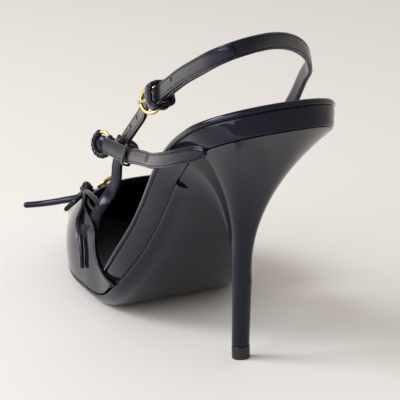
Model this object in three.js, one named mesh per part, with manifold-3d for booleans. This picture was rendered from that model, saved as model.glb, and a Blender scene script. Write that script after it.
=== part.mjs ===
// Slingback shoe in patent leather, for the left foot, on a slim high heel.
// Millimetres, +Z up. The origin is the middle of the heel tip's underside on the floor,
// +X runs toward the toe and +Y toward the outer side of the foot.
import * as THREE from 'three';
import { mergeVertices } from 'three/addons/utils/BufferGeometryUtils.js';
import Module from 'manifold-3d';

const wasm = await Module();
wasm.setup();

// Last
const LAST_LENGTH = 260;
const SEAT_WIDTH = 57.5;
const WAIST_WIDTH = 49.6;
const BALL_WIDTH = 70;
const SEAT_HEIGHT = 100.5;
const FEATHER_HEIGHT = 6.5;
const TIP_SETBACK = 49.5;
const TOE_RADIUS = 12;
const TOE_SPRING = 5;
const INSTEP_HEIGHT = 47;
const FOREFOOT_SWING = 8;
const SIDE_FULLNESS = 0.84;
const CROWN_FULLNESS = 0.95;
const FLANK_SWELL = 2.2;

// Wrapped footbed and its insole
const FOOTBED_THICKNESS = 10.4;
const COVER_BAND = 2.6;
const COVER_STEP = 0.5;
const RIM_WIDTH = 2.4;
const RIM_DEPTH = 1.2;
const INSOLE_THICKNESS = 0.8;
const WAIST_TUCK = 6;

// Upper and straps
const WALL = 1.8;
const BINDING_WIDTH = 3;
const BINDING_STEP = 0.5;
const STRAP_WIDTH = 6;
const STRAP_THICKNESS = 1.6;
const KEEPER_WIDTH = 3;
const TAB_WIDTH = 6.6;
const BOW_STRIP_WIDTH = 3.8;
const BOW_STRIP_THICKNESS = 1.5;
const RING_DIAMETER = 11.2;
const RING_WIRE = 1.4;
const BOW_RING_DIAMETER = 8;

// Heel
const TIP_WIDTH = 7;
const TOP_PIECE_HEIGHT = 5.2;
const COLUMN_HEIGHT = 32;
const COLUMN_WIDTH = 7.8;
const HEEL_REACH = 66;

// Clearance between pieces that touch
const GAP = 0.3;

const BLACK_PATENT = { color: 0x0b0b0d, roughness: 0.12, metalness: 0 };
const INSOLE_LEATHER = { color: 0x1b1b1e, roughness: 0.7, metalness: 0 };
const TIP_RUBBER = { color: 0x101012, roughness: 0.45, metalness: 0 };
const PALE_GOLD = { color: 0xd9b877, roughness: 0.2, metalness: 1 };

const clamp = THREE.MathUtils.clamp;
const lerp = THREE.MathUtils.lerp;
const radians = THREE.MathUtils.degToRad;

// Reads one column of a table along its "at" column, as straight runs
function runs(rows, column, at) {
  const last = rows.length - 1;
  if (at <= rows[0].at) return rows[0][column];
  if (at >= rows[last].at) return rows[last][column];
  const next = rows.findIndex((row) => row.at >= at);
  const [a, b] = [rows[next - 1], rows[next]];
  return lerp(a[column], b[column], (at - a.at) / (b.at - a.at));
}

// Reads one column of a table along its "at" column, as a smooth curve
function smooth(rows, column, at) {
  const last = rows.length - 1;
  const here = clamp(at, rows[0].at, rows[last].at);
  const next = clamp(rows.findIndex((row) => row.at >= here), 1, last);
  const [a, b] = [rows[next - 1], rows[next]];
  const before = rows[Math.max(next - 2, 0)];
  const after = rows[Math.min(next + 1, last)];
  const span = b.at - a.at;
  const t = (here - a.at) / span;
  const slopeA = (b[column] - before[column]) / (b.at - before.at) * span;
  const slopeB = (after[column] - a[column]) / (after.at - a.at) * span;
  const t2 = t * t;
  const t3 = t2 * t;
  return (2 * t3 - 3 * t2 + 1) * a[column] + (t3 - 2 * t2 + t) * slopeA
    + (3 * t2 - 2 * t3) * b[column] + (t3 - t2) * slopeB;
}

// Pitch of the footbed from the back of the seat to the toe, as shares of the steepest pitch
const PITCH = [
  { at: 0.0, share: 0.39 },
  { at: 0.154, share: 0.49 },
  { at: 0.288, share: 0.955 },
  { at: 0.404, share: 1.0 },
  { at: 0.5, share: 0.845 },
  { at: 0.577, share: 0.6 },
  { at: 0.654, share: 0.0 },
];

// Full width of the last and how far the forefoot swings inward
const OUTLINE = [
  { at: 0.0, width: SEAT_WIDTH, swing: 0 },
  { at: 0.108, width: SEAT_WIDTH, swing: 0 },
  { at: 0.231, width: lerp(WAIST_WIDTH, SEAT_WIDTH, 0.5), swing: 0 },
  { at: 0.385, width: WAIST_WIDTH, swing: 0 },
  { at: 0.538, width: BALL_WIDTH * 0.87, swing: 0.28 },
  { at: 0.615, width: BALL_WIDTH * 0.94, swing: 0.75 },
  { at: 0.68, width: BALL_WIDTH * 0.99, swing: 1 },
  { at: 0.762, width: BALL_WIDTH * 0.94, swing: 1.02 },
  { at: 0.835, width: BALL_WIDTH * 0.79, swing: 1.08 },
  { at: 0.904, width: BALL_WIDTH * 0.56, swing: 1.06 },
  { at: 0.958, width: TOE_RADIUS * 2.2, swing: 1.0 },
  { at: 1.0, width: TOE_RADIUS * 1.75, swing: 1.0 },
];

// Height of the upper's crown above the feather line, as shares of the instep height
const CROWN = [
  { at: 0.55, share: 0.98 },
  { at: 0.64, share: 0.93 },
  { at: 0.69, share: 0.88 },
  { at: 0.74, share: 0.83 },
  { at: 0.78, share: 0.78 },
  { at: 0.827, share: 0.7 },
  { at: 0.877, share: 0.57 },
  { at: 0.923, share: 0.43 },
  { at: 1.0, share: 0.24 },
];

// Footbed thickness, and how far its lower edge tucks in, as shares of their own sizes
const FOOTBED = [
  { at: 0.0, thick: 1.0, tuck: 0.08, sole: 0.4 },
  { at: 0.231, thick: 0.86, tuck: 1.0, sole: 0.45 },
  { at: 0.423, thick: 1.06, tuck: 0.58, sole: 0.6 },
  { at: 0.55, thick: 0.95, tuck: 0.2, sole: 0.85 },
  { at: 0.6, thick: 0.8, tuck: 0.08, sole: 0.94 },
  { at: 0.66, thick: 0.5, tuck: 0.0, sole: 1.0 },
  { at: 0.83, thick: 0.4, tuck: 0.0, sole: 1.0 },
  { at: 1.0, thick: 0.36, tuck: 0.0, sole: 0.8 },
];

// The throat, from the outer feather line (0) over the crown to the inner one (1)
const THROAT = [
  { at: 0.0, edge: 0.535 },
  { at: 0.045, edge: 0.577 },
  { at: 0.09, edge: 0.612 },
  { at: 0.12, edge: 0.627 },
  { at: 0.15, edge: 0.638 },
  { at: 0.18, edge: 0.648 },
  { at: 0.205, edge: 0.66 },
  { at: 0.235, edge: 0.7 },
  { at: 0.265, edge: 0.745 },
  { at: 0.3, edge: 0.768 },
  { at: 0.34, edge: 0.769 },
  { at: 0.39, edge: 0.76 },
  { at: 0.46, edge: 0.742 },
  { at: 0.54, edge: 0.73 },
  { at: 0.7, edge: 0.69 },
  { at: 0.83, edge: 0.632 },
  { at: 1.0, edge: 0.572 },
];

const SPRING_START = 0.827;
const PROFILE_STEPS = 520;

// Walks down the footbed's pitch from the back of the seat, in small even steps
function walkProfile(steepest) {
  const step = LAST_LENGTH / PROFILE_STEPS;
  const walk = [{ at: 0, x: -TIP_SETBACK, z: SEAT_HEIGHT, pitch: radians(steepest * PITCH[0].share) }];
  for (let i = 1; i <= PROFILE_STEPS; i += 1) {
    const at = i / PROFILE_STEPS;
    const pitch = radians(steepest * runs(PITCH, 'share', at));
    const last = walk[i - 1];
    const mean = (pitch + last.pitch) / 2;
    walk.push({ at, x: last.x + Math.cos(mean) * step, z: last.z - Math.sin(mean) * step, pitch });
  }
  return walk;
}

// Finds the steepest pitch that brings the profile down to the feather height at the ball
function solveProfile() {
  let [low, high] = [5, 88];
  for (let i = 0; i < 40; i += 1) {
    const middle = (low + high) / 2;
    const walk = walkProfile(middle);
    if (walk[PROFILE_STEPS].z > FEATHER_HEIGHT) low = middle;
    else high = middle;
  }
  return walkProfile(low);
}

const profile = solveProfile();

// Place on the feather line's own surface: s in millimetres from the back of the seat,
// y to the outer side and n square to the surface
function onLast(s, y, n) {
  const at = clamp(s / LAST_LENGTH, 0, 1);
  const index = Math.min(Math.floor(at * PROFILE_STEPS), PROFILE_STEPS - 1);
  const t = at * PROFILE_STEPS - index;
  const [a, b] = [profile[index], profile[index + 1]];
  const pitch = lerp(a.pitch, b.pitch, t);
  const rise = TOE_SPRING * Math.max(0, (at - SPRING_START) / (1 - SPRING_START)) ** 2;
  return new THREE.Vector3(
    lerp(a.x, b.x, t) + Math.sin(pitch) * n,
    y,
    lerp(a.z, b.z, t) + Math.cos(pitch) * n + rise,
  );
}

// How far a rounded end has opened at a distance from its tip
function roundEnd(distance, radius) {
  return Math.sqrt(Math.max(0, 1 - Math.max(0, 1 - distance / radius) ** 2));
}

// Half width of the outline, drawn in by an inset that also shortens both ends
function halfWidth(s, inset) {
  const half = smooth(OUTLINE, 'width', s / LAST_LENGTH) / 2 - inset;
  const seat = roundEnd(s - inset, SEAT_WIDTH / 2 - inset);
  const toe = roundEnd(LAST_LENGTH - inset - s, TOE_RADIUS - inset);
  return Math.max(half, 0) * seat * toe;
}

const swingAt = (s) => -FOREFOOT_SWING * smooth(OUTLINE, 'swing', s / LAST_LENGTH);

// Surface of the upper over the forefoot: around runs from the outer feather line, 0, to the
// inner, 1
function onUpper(s, around, inset) {
  const angle = Math.PI * around;
  const toe = roundEnd(LAST_LENGTH - inset - s, TOE_RADIUS - inset);
  const crown = (INSTEP_HEIGHT * smooth(CROWN, 'share', s / LAST_LENGTH) - inset) * toe;
  const across = Math.sign(Math.cos(angle)) * Math.abs(Math.cos(angle)) ** SIDE_FULLNESS;
  const y = swingAt(s) + halfWidth(s, inset) * across + FLANK_SWELL * toe * Math.sin(2 * angle);
  return onLast(s, y, GAP).add(new THREE.Vector3(0, 0, crown * Math.sin(angle) ** CROWN_FULLNESS));
}

// Turns points and triangles into one closed geometry whose faces point outward
function closedGeometry(points, faces) {
  const raw = new THREE.BufferGeometry();
  raw.setAttribute('position', new THREE.Float32BufferAttribute(points.flatMap((p) => p.toArray()), 3));
  raw.setIndex(faces.flat());
  const merged = mergeVertices(raw, 1e-3);
  const place = merged.getAttribute('position');
  const corner = (i) => new THREE.Vector3().fromBufferAttribute(place, i);
  const kept = [];
  let volume = 0;
  for (let i = 0; i < merged.index.count; i += 3) {
    const [a, b, c] = [0, 1, 2].map((k) => merged.index.getX(i + k));
    if (a === b || b === c || c === a) continue;
    kept.push(a, b, c);
    volume += corner(a).dot(corner(b).cross(corner(c)));
  }
  if (volume < 0) kept.reverse();
  merged.setIndex(kept);
  return merged;
}

// Twice the area that a ring of points encloses
function ringArea(ring) {
  const sum = new THREE.Vector3();
  ring.forEach((p, j) => sum.add(new THREE.Vector3().crossVectors(p, ring[(j + 1) % ring.length])));
  return sum.length();
}

// Skins rings of equal length; each end that encloses anything gets a fan over it
function loft(rings) {
  const count = rings[0].length;
  const points = rings.flat();
  const faces = [];
  for (let i = 0; i + 1 < rings.length; i += 1) {
    for (let j = 0; j < count; j += 1) {
      const a = i * count + j;
      const b = i * count + ((j + 1) % count);
      faces.push([a, b, a + count], [b, b + count, a + count]);
    }
  }
  for (const [ring, turn] of [[0, true], [rings.length - 1, false]]) {
    if (ringArea(rings[ring]) < 1e-3) continue;
    const start = ring * count;
    const middle = new THREE.Vector3();
    for (let j = 0; j < count; j += 1) middle.addScaledVector(points[start + j], 1 / count);
    const hub = points.push(middle) - 1;
    for (let j = 0; j < count; j += 1) {
      const edge = [start + j, start + ((j + 1) % count)];
      faces.push(turn ? [edge[1], edge[0], hub] : [edge[0], edge[1], hub]);
    }
  }
  return closedGeometry(points, faces);
}

// Even shares from 0 to 1, drawn closer together at both ends when ends is above 0
function shares(count, ends = 0) {
  return Array.from({ length: count + 1 }, (_, i) => {
    const t = i / count;
    return lerp(t, (1 - Math.cos(Math.PI * t)) / 2, ends);
  });
}

function toManifold(geometry) {
  const place = geometry.getAttribute('position');
  return new wasm.Manifold(new wasm.Mesh({
    numProp: 3,
    vertProperties: new Float32Array(place.array),
    triVerts: new Uint32Array(geometry.index.array),
  }));
}

function fromManifold(solid) {
  const mesh = solid.getMesh();
  const geometry = new THREE.BufferGeometry();
  geometry.setAttribute('position', new THREE.BufferAttribute(mesh.vertProperties, 3));
  geometry.setIndex(new THREE.BufferAttribute(mesh.triVerts, 1));
  return geometry;
}

// Steps along the sole's pieces, drawn closer toward both ends
const FOOTBED_STEPS = 46;
const INSOLE_STEPS = 34;
const OUTSOLE_STEPS = 36;
const END_CROWDING = 0.48;

const shoe = new THREE.Group();

function addPiece(name, geometry, finish) {
  const mesh = new THREE.Mesh(geometry, new THREE.MeshStandardMaterial(finish));
  mesh.name = name;
  geometry.computeVertexNormals();
  shoe.add(mesh);
}

// Footbed: a wrapped board from the seat into the toe, with a cover band around its top edge
const footbedThickness = (s) => FOOTBED_THICKNESS * runs(FOOTBED, 'thick', s / LAST_LENGTH);
const tuckAt = (s) => WAIST_TUCK * smooth(FOOTBED, 'tuck', s / LAST_LENGTH);

// The upper's wall takes room beside the footbed from its back corners forward
const WALL_ROOM = [
  { at: 0.462, share: 0 },
  { at: 0.525, share: 1.05 },
  { at: 0.83, share: 1.15 },
  { at: 1.0, share: 1.7 },
];
const wallRoom = (s) => (WALL + BINDING_STEP + GAP) * runs(WALL_ROOM, 'share', s / LAST_LENGTH);

function footbedPoint(share, inset, height, tucked) {
  const s = lerp(inset, LAST_LENGTH - inset - wallRoom(LAST_LENGTH), share);
  const drawn = inset + wallRoom(s) + tuckAt(s) * tucked;
  const half = Math.max(halfWidth(s, inset) - (drawn - inset), 0);
  return { s, half, n: GAP + height(footbedThickness(s)) };
}

// One side of the footbed's section, from its lower edge up and over the rim
const FOOTBED_SECTION = [
  { inset: COVER_STEP, height: () => 0, tucked: 1 },
  { inset: COVER_STEP, height: (t) => (t - COVER_BAND) * 0.4, tucked: 0.55 },
  { inset: COVER_STEP, height: (t) => (t - COVER_BAND) * 0.75, tucked: 0.18 },
  { inset: COVER_STEP, height: (t) => t - COVER_BAND, tucked: 0 },
  { inset: 0, height: (t) => t - COVER_BAND * 0.85, tucked: 0 },
  { inset: COVER_STEP, height: (t) => t - COVER_STEP * 0.4, tucked: 0 },
  { inset: COVER_STEP + RIM_WIDTH * 0.5, height: (t) => t, tucked: 0 },
  { inset: COVER_STEP + RIM_WIDTH, height: (t) => t - RIM_DEPTH, tucked: 0 },
];

function makeFootbed() {
  const rings = shares(FOOTBED_STEPS, END_CROWDING).map((share) => {
    const side = FOOTBED_SECTION.map((row) => footbedPoint(share, row.inset, row.height, row.tucked));
    const outer = side.map((p) => onLast(p.s, swingAt(p.s) + p.half, p.n));
    const inner = side.map((p) => onLast(p.s, swingAt(p.s) - p.half, p.n));
    return [...outer, ...inner.reverse()];
  });
  return loft(rings);
}

// Insole: a thin sock in the footbed's recess
function makeInsole() {
  const inset = COVER_STEP + RIM_WIDTH + GAP;
  const rings = shares(INSOLE_STEPS, END_CROWDING).map((share) => {
    const s = lerp(inset, LAST_LENGTH - inset - wallRoom(LAST_LENGTH), share);
    const half = Math.max(halfWidth(s, inset) - wallRoom(s), 0);
    const floor = GAP + footbedThickness(s) - RIM_DEPTH + GAP;
    return [[half, 0], [half, INSOLE_THICKNESS], [-half, INSOLE_THICKNESS], [-half, 0]]
      .map(([y, n]) => onLast(s, swingAt(s) + y, floor + n));
  });
  return loft(rings);
}

// Outsole: from the heel's breast to the toe, flat on the floor at the ball, rolled at its edges
const SOLE_SECTION = [
  { across: 1.0, depth: 0 },
  { across: 1.0, depth: 0.12 },
  { across: 0.96, depth: 0.5 },
  { across: 0.86, depth: 0.88 },
  { across: 0.72, depth: 1 },
];

function makeOutsole() {
  const start = HEEL_REACH + GAP;
  const rings = shares(OUTSOLE_STEPS, END_CROWDING).map((share) => {
    const s = lerp(start, LAST_LENGTH, share);
    const half = Math.max(halfWidth(s, 0) - tuckAt(s), 0);
    const depth = FEATHER_HEIGHT * smooth(FOOTBED, 'sole', s / LAST_LENGTH);
    const side = SOLE_SECTION.map((row) => onLast(s, swingAt(s) + half * row.across, -depth * row.depth));
    const other = SOLE_SECTION.map((row) => onLast(s, swingAt(s) - half * row.across, -depth * row.depth));
    return [...side, ...other.reverse()];
  });
  return loft(rings);
}

// Heel: a slim column that flares up to the seat, steeper at its breast than at its back
const HEEL_AROUND = 17;
const FLARE_STEPS = 12;
const BREAST_STEPS = 5;
const BACK_POWER = 2;
const BREAST_POWER = 4.5;
const COLUMN_STEPS = 2;
const COLUMN_TAPER = 0.6;
const COLUMN_LEAN = 0.11;
const BREAST_CORNER = 0.22;
const SEAT_ROUNDING = 1.6;
const TIP_OVERHANG = 0.1;

// A round-backed section with a flat front, from its outer front corner around to the inner one
function heelSection(half, centre, z) {
  const around = shares(HEEL_AROUND - 1).map((t) => {
    const angle = lerp(-BREAST_CORNER, Math.PI + BREAST_CORNER, t);
    return new THREE.Vector3(centre - half * Math.sin(angle), half * Math.cos(angle), z);
  });
  const [first, last] = [around[0], around[HEEL_AROUND - 1]];
  const breast = shares(BREAST_STEPS).slice(1, -1).map((t) => last.clone().lerp(first, t));
  return [...around, ...breast];
}

function seatRing() {
  const inset = COVER_STEP + GAP;
  const around = shares(HEEL_AROUND - 1).map((t) => {
    const fold = Math.abs(2 * t - 1);
    const s = lerp(inset, HEEL_REACH, fold ** SEAT_ROUNDING);
    const half = Math.max(halfWidth(s, inset) - tuckAt(s), 0) * Math.sign(0.5 - t || 1);
    return onLast(s, t === 0.5 ? 0 : half, 0);
  });
  const [first, last] = [around[0], around[HEEL_AROUND - 1]];
  const breast = shares(BREAST_STEPS).slice(1, -1).map((t) => last.clone().lerp(first, t));
  return [...around, ...breast];
}

function columnCentre(z) {
  return -COLUMN_LEAN * (z - TOP_PIECE_HEIGHT);
}

function makeHeel() {
  const top = seatRing();
  const foot = heelSection(COLUMN_WIDTH / 2, columnCentre(COLUMN_HEIGHT), COLUMN_HEIGHT);
  const rings = shares(FLARE_STEPS).map((down) => top.map((point, j) => {
    const t = j < HEEL_AROUND ? Math.abs(2 * j / (HEEL_AROUND - 1) - 1) : 1;
    const power = lerp(BACK_POWER, BREAST_POWER, t ** 3);
    const spread = (1 - down) ** power;
    return new THREE.Vector3(
      lerp(foot[j].x, point.x, spread),
      lerp(foot[j].y, point.y, spread),
      lerp(point.z, foot[j].z, down),
    );
  }));
  const columnRows = shares(COLUMN_STEPS).slice(1).map((down) => {
    const z = lerp(COLUMN_HEIGHT, TOP_PIECE_HEIGHT + GAP, down);
    return heelSection(lerp(COLUMN_WIDTH, TIP_WIDTH, down ** COLUMN_TAPER) / 2, columnCentre(z), z);
  });
  return loft([...rings, ...columnRows]);
}

function makeTopPiece() {
  return loft([0, TOP_PIECE_HEIGHT].map((z) => heelSection(TIP_WIDTH / 2 + TIP_OVERHANG, 0, z)));
}

// Upper: one hollow vamp, open at the throat and underneath, with a raised binding at the throat
const UPPER_AROUND = 26;
const UPPER_ALONG = 15;

function upperGrid(inset, along) {
  return shares(UPPER_AROUND, 0.3).map((around) => {
    const edge = LAST_LENGTH * smooth(THROAT, 'edge', around);
    return along.map((row) => {
      const depth = inset + (row.raised ? -BINDING_STEP : 0);
      const s = lerp(edge + row.from, LAST_LENGTH - depth, row.share);
      return onUpper(s, around, depth);
    });
  });
}

// The upper's shell between two depths; the throat's binding stands out by its own step
function makeShell(outside, inside) {
  const from = BINDING_WIDTH + GAP;
  const body = shares(UPPER_ALONG, 0.35).map((share) => ({ share, from, raised: false }));
  const band = [
    { share: 0, from: 0, raised: true },
    { share: 0, from: BINDING_WIDTH, raised: true },
  ];
  const plain = band.map((row) => ({ ...row, raised: false }));
  const outer = upperGrid(outside, [...band, ...body]);
  const inner = upperGrid(inside, [...plain, ...body]);
  const rings = outer[0].map((_, j) => [
    ...outer.map((line) => line[j]),
    ...inner.map((line) => line[j]).reverse(),
  ]);
  return bandLoft(rings, outer.length);
}

// Skins shell rings, each an outer line followed by an inner line backward; the ends close edge to edge
function bandLoft(rings, half) {
  const count = rings[0].length;
  const points = rings.flat();
  const faces = [];
  for (let i = 0; i + 1 < rings.length; i += 1) {
    for (let j = 0; j < count; j += 1) {
      const a = i * count + j;
      const b = i * count + ((j + 1) % count);
      faces.push([a, b, a + count], [b, b + count, a + count]);
    }
  }
  for (const [start, turn] of [[0, true], [(rings.length - 1) * count, false]]) {
    for (let j = 0; j + 1 < half; j += 1) {
      const [a, b] = [start + j, start + j + 1];
      const [c, d] = [start + count - 1 - j, start + count - 2 - j];
      faces.push(...(turn ? [[a, c, b], [b, c, d]] : [[a, b, c], [b, d, c]]));
    }
  }
  return closedGeometry(points, faces);
}

// Skins rings that meet again end to start
function loftLoop(rings) {
  const count = rings[0].length;
  const faces = [];
  for (let i = 0; i < rings.length; i += 1) {
    const next = (i + 1) % rings.length;
    for (let j = 0; j < count; j += 1) {
      const k = (j + 1) % count;
      faces.push([i * count + j, i * count + k, next * count + j]);
      faces.push([i * count + k, next * count + k, next * count + j]);
    }
  }
  return closedGeometry(rings.flat(), faces);
}

// Eight-cornered strip section around a station, across its width and through its thickness
const STRIP_BEVEL = 0.35;
function stripRing(station, width, thickness) {
  const half = width / 2;
  const slim = half - thickness * STRIP_BEVEL;
  const up = thickness / 2;
  const low = up * STRIP_BEVEL;
  const corners = [
    [half, low], [slim, up], [-slim, up], [-half, low],
    [-half, -low], [-slim, -up], [slim, -up], [half, -low],
  ];
  return corners
    .map(([w, n]) => station.p.clone().addScaledVector(station.w, w).addScaledVector(station.n, n));
}

// Direction from a compass angle about +Z and a rise above the floor, in degrees
function facing(faces, tilt) {
  const [a, e] = [radians(faces), radians(tilt)];
  return new THREE.Vector3(Math.cos(a) * Math.cos(e), Math.sin(a) * Math.cos(e), Math.sin(e));
}

// Place above the footbed: along the last, to the side as a share of half the seat and up as a
// share of the instep
function over(row) {
  return onLast(row.at * LAST_LENGTH, row.side * SEAT_WIDTH / 2, 0)
    .add(new THREE.Vector3(0, 0, row.up * INSTEP_HEIGHT));
}

// Runs a smooth line through points and keeps a facing direction square to it at every station
function stations(points, normals, steps) {
  const curve = new THREE.CatmullRomCurve3(points, false, 'centripetal');
  const spans = points.length - 1;
  return shares(spans * steps).map((t) => {
    const place = Math.min(Math.floor(t * spans + 1e-9), spans - 1);
    const p = curve.getPoint(t);
    const along = curve.getTangent(t);
    const n = normals[place].clone().lerp(normals[place + 1], t * spans - place);
    n.addScaledVector(along, -n.dot(along)).normalize();
    return { p, n, along, w: new THREE.Vector3().crossVectors(along, n) };
  });
}

const rowNormals = (rows) => rows.map((row) => facing(row.faces, row.tilt));
const rowStations = (rows, steps) => stations(rows.map(over), rowNormals(rows), steps);

// Row stations whose last points lie against the inner side of the footbed
function anchoredStations(rows, anchor, steps) {
  const inward = facing(270, 0);
  const ends = anchor.map((row) => {
    const s = row.at * LAST_LENGTH;
    const out = halfWidth(s, 0) - wallRoom(s) + GAP + STRAP_THICKNESS / 2;
    return onLast(s, swingAt(s) - out, GAP + footbedThickness(s) * row.rise);
  });
  const points = [...rows.map(over), ...ends];
  return stations(points, [...rowNormals(rows), ...ends.map(() => inward)], steps);
}

// Moves a station along its own facing direction
const lifted = (station, rise) => ({ ...station, p: station.p.clone().addScaledVector(station.n, rise) });

// Sling: from its ring on the outer side, round the back of the ankle, to the inner side of the footbed
const SLING = [
  { at: 0.347, side: 0.703, up: 1.010, faces: 97, tilt: 8 },
  { at: 0.251, side: 0.765, up: 0.769, faces: 97, tilt: 8 },
  { at: 0.167, side: 0.835, up: 0.672, faces: 96, tilt: 6 },
  { at: 0.088, side: 0.887, up: 0.649, faces: 98, tilt: 4 },
  { at: 0.04, side: 0.877, up: 0.653, faces: 108, tilt: 2 },
  { at: 0.018, side: 0.78, up: 0.668, faces: 128, tilt: 0 },
  { at: 0.01, side: 0.6, up: 0.685, faces: 150, tilt: 0 },
  { at: 0.016, side: 0.4, up: 0.702, faces: 170, tilt: 0 },
  { at: 0.028, side: 0.191, up: 0.716, faces: 190, tilt: 2 },
  { at: 0.05, side: -0.104, up: 0.719, faces: 205, tilt: 4 },
  { at: 0.08, side: -0.417, up: 0.7, faces: 222, tilt: 6 },
  { at: 0.109, side: -0.661, up: 0.66, faces: 238, tilt: 6 },
  { at: 0.144, side: -0.852, up: 0.604, faces: 250, tilt: 4 },
  { at: 0.187, side: -0.945, up: 0.571, faces: 260, tilt: 2 },
  { at: 0.228, side: -0.985, up: 0.51, faces: 266, tilt: 0 },
];

// Outer half of the instep strap, from its ring back to the side of the footbed
const INSTEP_NEAR = [
  { at: 0.672, side: 0.522, up: 1.293, faces: 82, tilt: 14 },
  { at: 0.639, side: 0.536, up: 1.297, faces: 83, tilt: 15 },
  { at: 0.559, side: 0.584, up: 1.173, faces: 86, tilt: 20 },
  { at: 0.487, side: 0.661, up: 0.983, faces: 88, tilt: 28 },
  { at: 0.379, side: 0.793, up: 0.618, faces: 90, tilt: 32 },
  { at: 0.29, side: 0.935, up: 0.315, faces: 90, tilt: 16 },
  { at: 0.215, side: 1.012, up: 0.118, faces: 90, tilt: 4 },
  { at: 0.174, side: 1.023, up: 0.051, faces: 91, tilt: 1 },
  { at: 0.142, side: 1.016, up: 0.019, faces: 93, tilt: 2 },
  { at: 0.115, side: 1.005, up: -0.006, faces: 96, tilt: 0 },
  { at: 0.091, side: 0.988, up: -0.024, faces: 100, tilt: 0 },
];

// Inner half of the instep strap, from under the ring over to the inner side of the footbed
const INSTEP_FAR = [
  { at: 0.7, side: 0.24, up: 1.275, faces: 80, tilt: 24 },
  { at: 0.68, side: 0.15, up: 1.25, faces: 64, tilt: 36 },
  { at: 0.664, side: 0.04, up: 1.19, faces: 30, tilt: 50 },
  { at: 0.651, side: -0.12, up: 1.12, faces: 350, tilt: 54 },
  { at: 0.633, side: -0.34, up: 1.0, faces: 318, tilt: 48 },
  { at: 0.603, side: -0.59, up: 0.82, faces: 298, tilt: 38 },
  { at: 0.565, side: -0.8, up: 0.62, faces: 285, tilt: 28 },
  { at: 0.522, side: -0.93, up: 0.45, faces: 276, tilt: 18 },
];

// Where the straps' inner ends lie against the side of the footbed, as shares of its thickness
const INSTEP_ANCHOR = [
  { at: 0.482, rise: 1.35 },
  { at: 0.462, rise: 0.85 },
  { at: 0.45, rise: 0.3 },
];
const SLING_ANCHOR = [
  { at: 0.248, rise: 1.5 },
  { at: 0.25, rise: 0.9 },
  { at: 0.252, rise: 0.3 },
];

// Middle strap rising from the throat, under the instep strap, to the sling's ring
const MIDDLE = [
  { at: 0.683, side: 0.783, up: 0.5, faces: 118, tilt: 22 },
  { at: 0.693, side: 0.689, up: 0.572, faces: 116, tilt: 22 },
  { at: 0.704, side: 0.574, up: 0.644, faces: 114, tilt: 22 },
  { at: 0.707, side: 0.452, up: 0.719, faces: 112, tilt: 20 },
  { at: 0.7, side: 0.355, up: 0.819, faces: 110, tilt: 14 },
  { at: 0.687, side: 0.327, up: 0.942, faces: 108, tilt: 8 },
  { at: 0.68, side: 0.323, up: 1.081, faces: 106, tilt: 6 },
  { at: 0.661, side: 0.335, up: 1.227, faces: 98, tilt: 6 },
  { at: 0.628, side: 0.386, up: 1.356, faces: 92, tilt: 6 },
  { at: 0.554, side: 0.482, up: 1.407, faces: 92, tilt: 6 },
  { at: 0.457, side: 0.607, up: 1.275, faces: 94, tilt: 6 },
];

const FOLD_SLACK = 0.7;
const FOLD_RETURN = 9;
const FOLD_STEPS = 5;
const SLING_RING_TILT = 36;
const INSTEP_RING_TILT = 24;
const RING_RADIUS = (RING_DIAMETER - RING_WIRE) / 2;

// A strap whose first end folds round a ring's wire and comes back along its inner side
function foldedStrap(line, widthAt) {
  const head = line[0];
  const reach = RING_WIRE / 2 + FOLD_SLACK + STRAP_THICKNESS / 2;
  const place = (ahead, rise) => lifted(head, rise).p.addScaledVector(head.along, -ahead);
  const turn = shares(FOLD_STEPS).map((t) => {
    const angle = Math.PI * t;
    const n = head.n.clone().multiplyScalar(-Math.cos(angle)).addScaledVector(head.along, -Math.sin(angle));
    const p = place(Math.sin(angle) * reach + FOLD_SLACK, -reach - Math.cos(angle) * reach);
    return { p, n, w: head.w };
  });
  const near = line.filter((s) => s !== head && s.p.distanceTo(head.p) < FOLD_RETURN);
  const under = near.reverse().map((s) => {
    const t = Math.min(s.p.distanceTo(head.p) / FOLD_RETURN, 1);
    const rise = -lerp(reach * 2, STRAP_THICKNESS + GAP, Math.sin(t * Math.PI / 2));
    return { p: lifted(s, rise).p, n: s.n.clone().negate(), w: s.w };
  });
  const all = [...under, ...turn, ...line];
  const first = all.length - line.length;
  const share = (i) => Math.max(i - first, 0) / (line.length - 1);
  return loft(all.map((s, i) => stripRing(s, widthAt(share(i)), STRAP_THICKNESS)));
}

// A ring held in the fold at a strap's head, leaning outward from the strap
function ringFrame(line, tilt) {
  const head = line[0];
  const reach = RING_WIRE / 2 + FOLD_SLACK + STRAP_THICKNESS / 2;
  const lean = radians(tilt);
  const ahead = head.along.clone().multiplyScalar(-Math.cos(lean)).addScaledVector(head.n, Math.sin(lean));
  const axis = head.n.clone().multiplyScalar(Math.cos(lean)).addScaledVector(head.along, Math.sin(lean));
  const centre = head.p.clone().addScaledVector(head.n, -reach).addScaledVector(ahead, RING_RADIUS);
  return { centre, ahead, axis, w: head.w };
}

// Round wire bent to a ring, or to part of one between two angles from the ring's leading point
const WIRE_SIDES = 8;
const RING_STEPS = 26;
const BOW_RING_STEPS = 18;
function ringArc(frame, radius, wire, start, end, steps) {
  const whole = end - start >= 360;
  const rings = shares(steps).slice(0, whole ? steps : steps + 1).map((t) => {
    const angle = radians(lerp(start, end, t));
    const out = frame.ahead.clone().multiplyScalar(Math.cos(angle));
    out.addScaledVector(frame.w, Math.sin(angle));
    const middle = frame.centre.clone().addScaledVector(out, radius);
    return Array.from({ length: WIRE_SIDES }, (_, j) => {
      const turn = 2 * Math.PI * j / WIRE_SIDES;
      return middle.clone().addScaledVector(out, Math.cos(turn) * wire / 2)
        .addScaledVector(frame.axis, Math.sin(turn) * wire / 2);
    });
  });
  return whole ? loftLoop(rings) : loft(rings);
}

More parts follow.
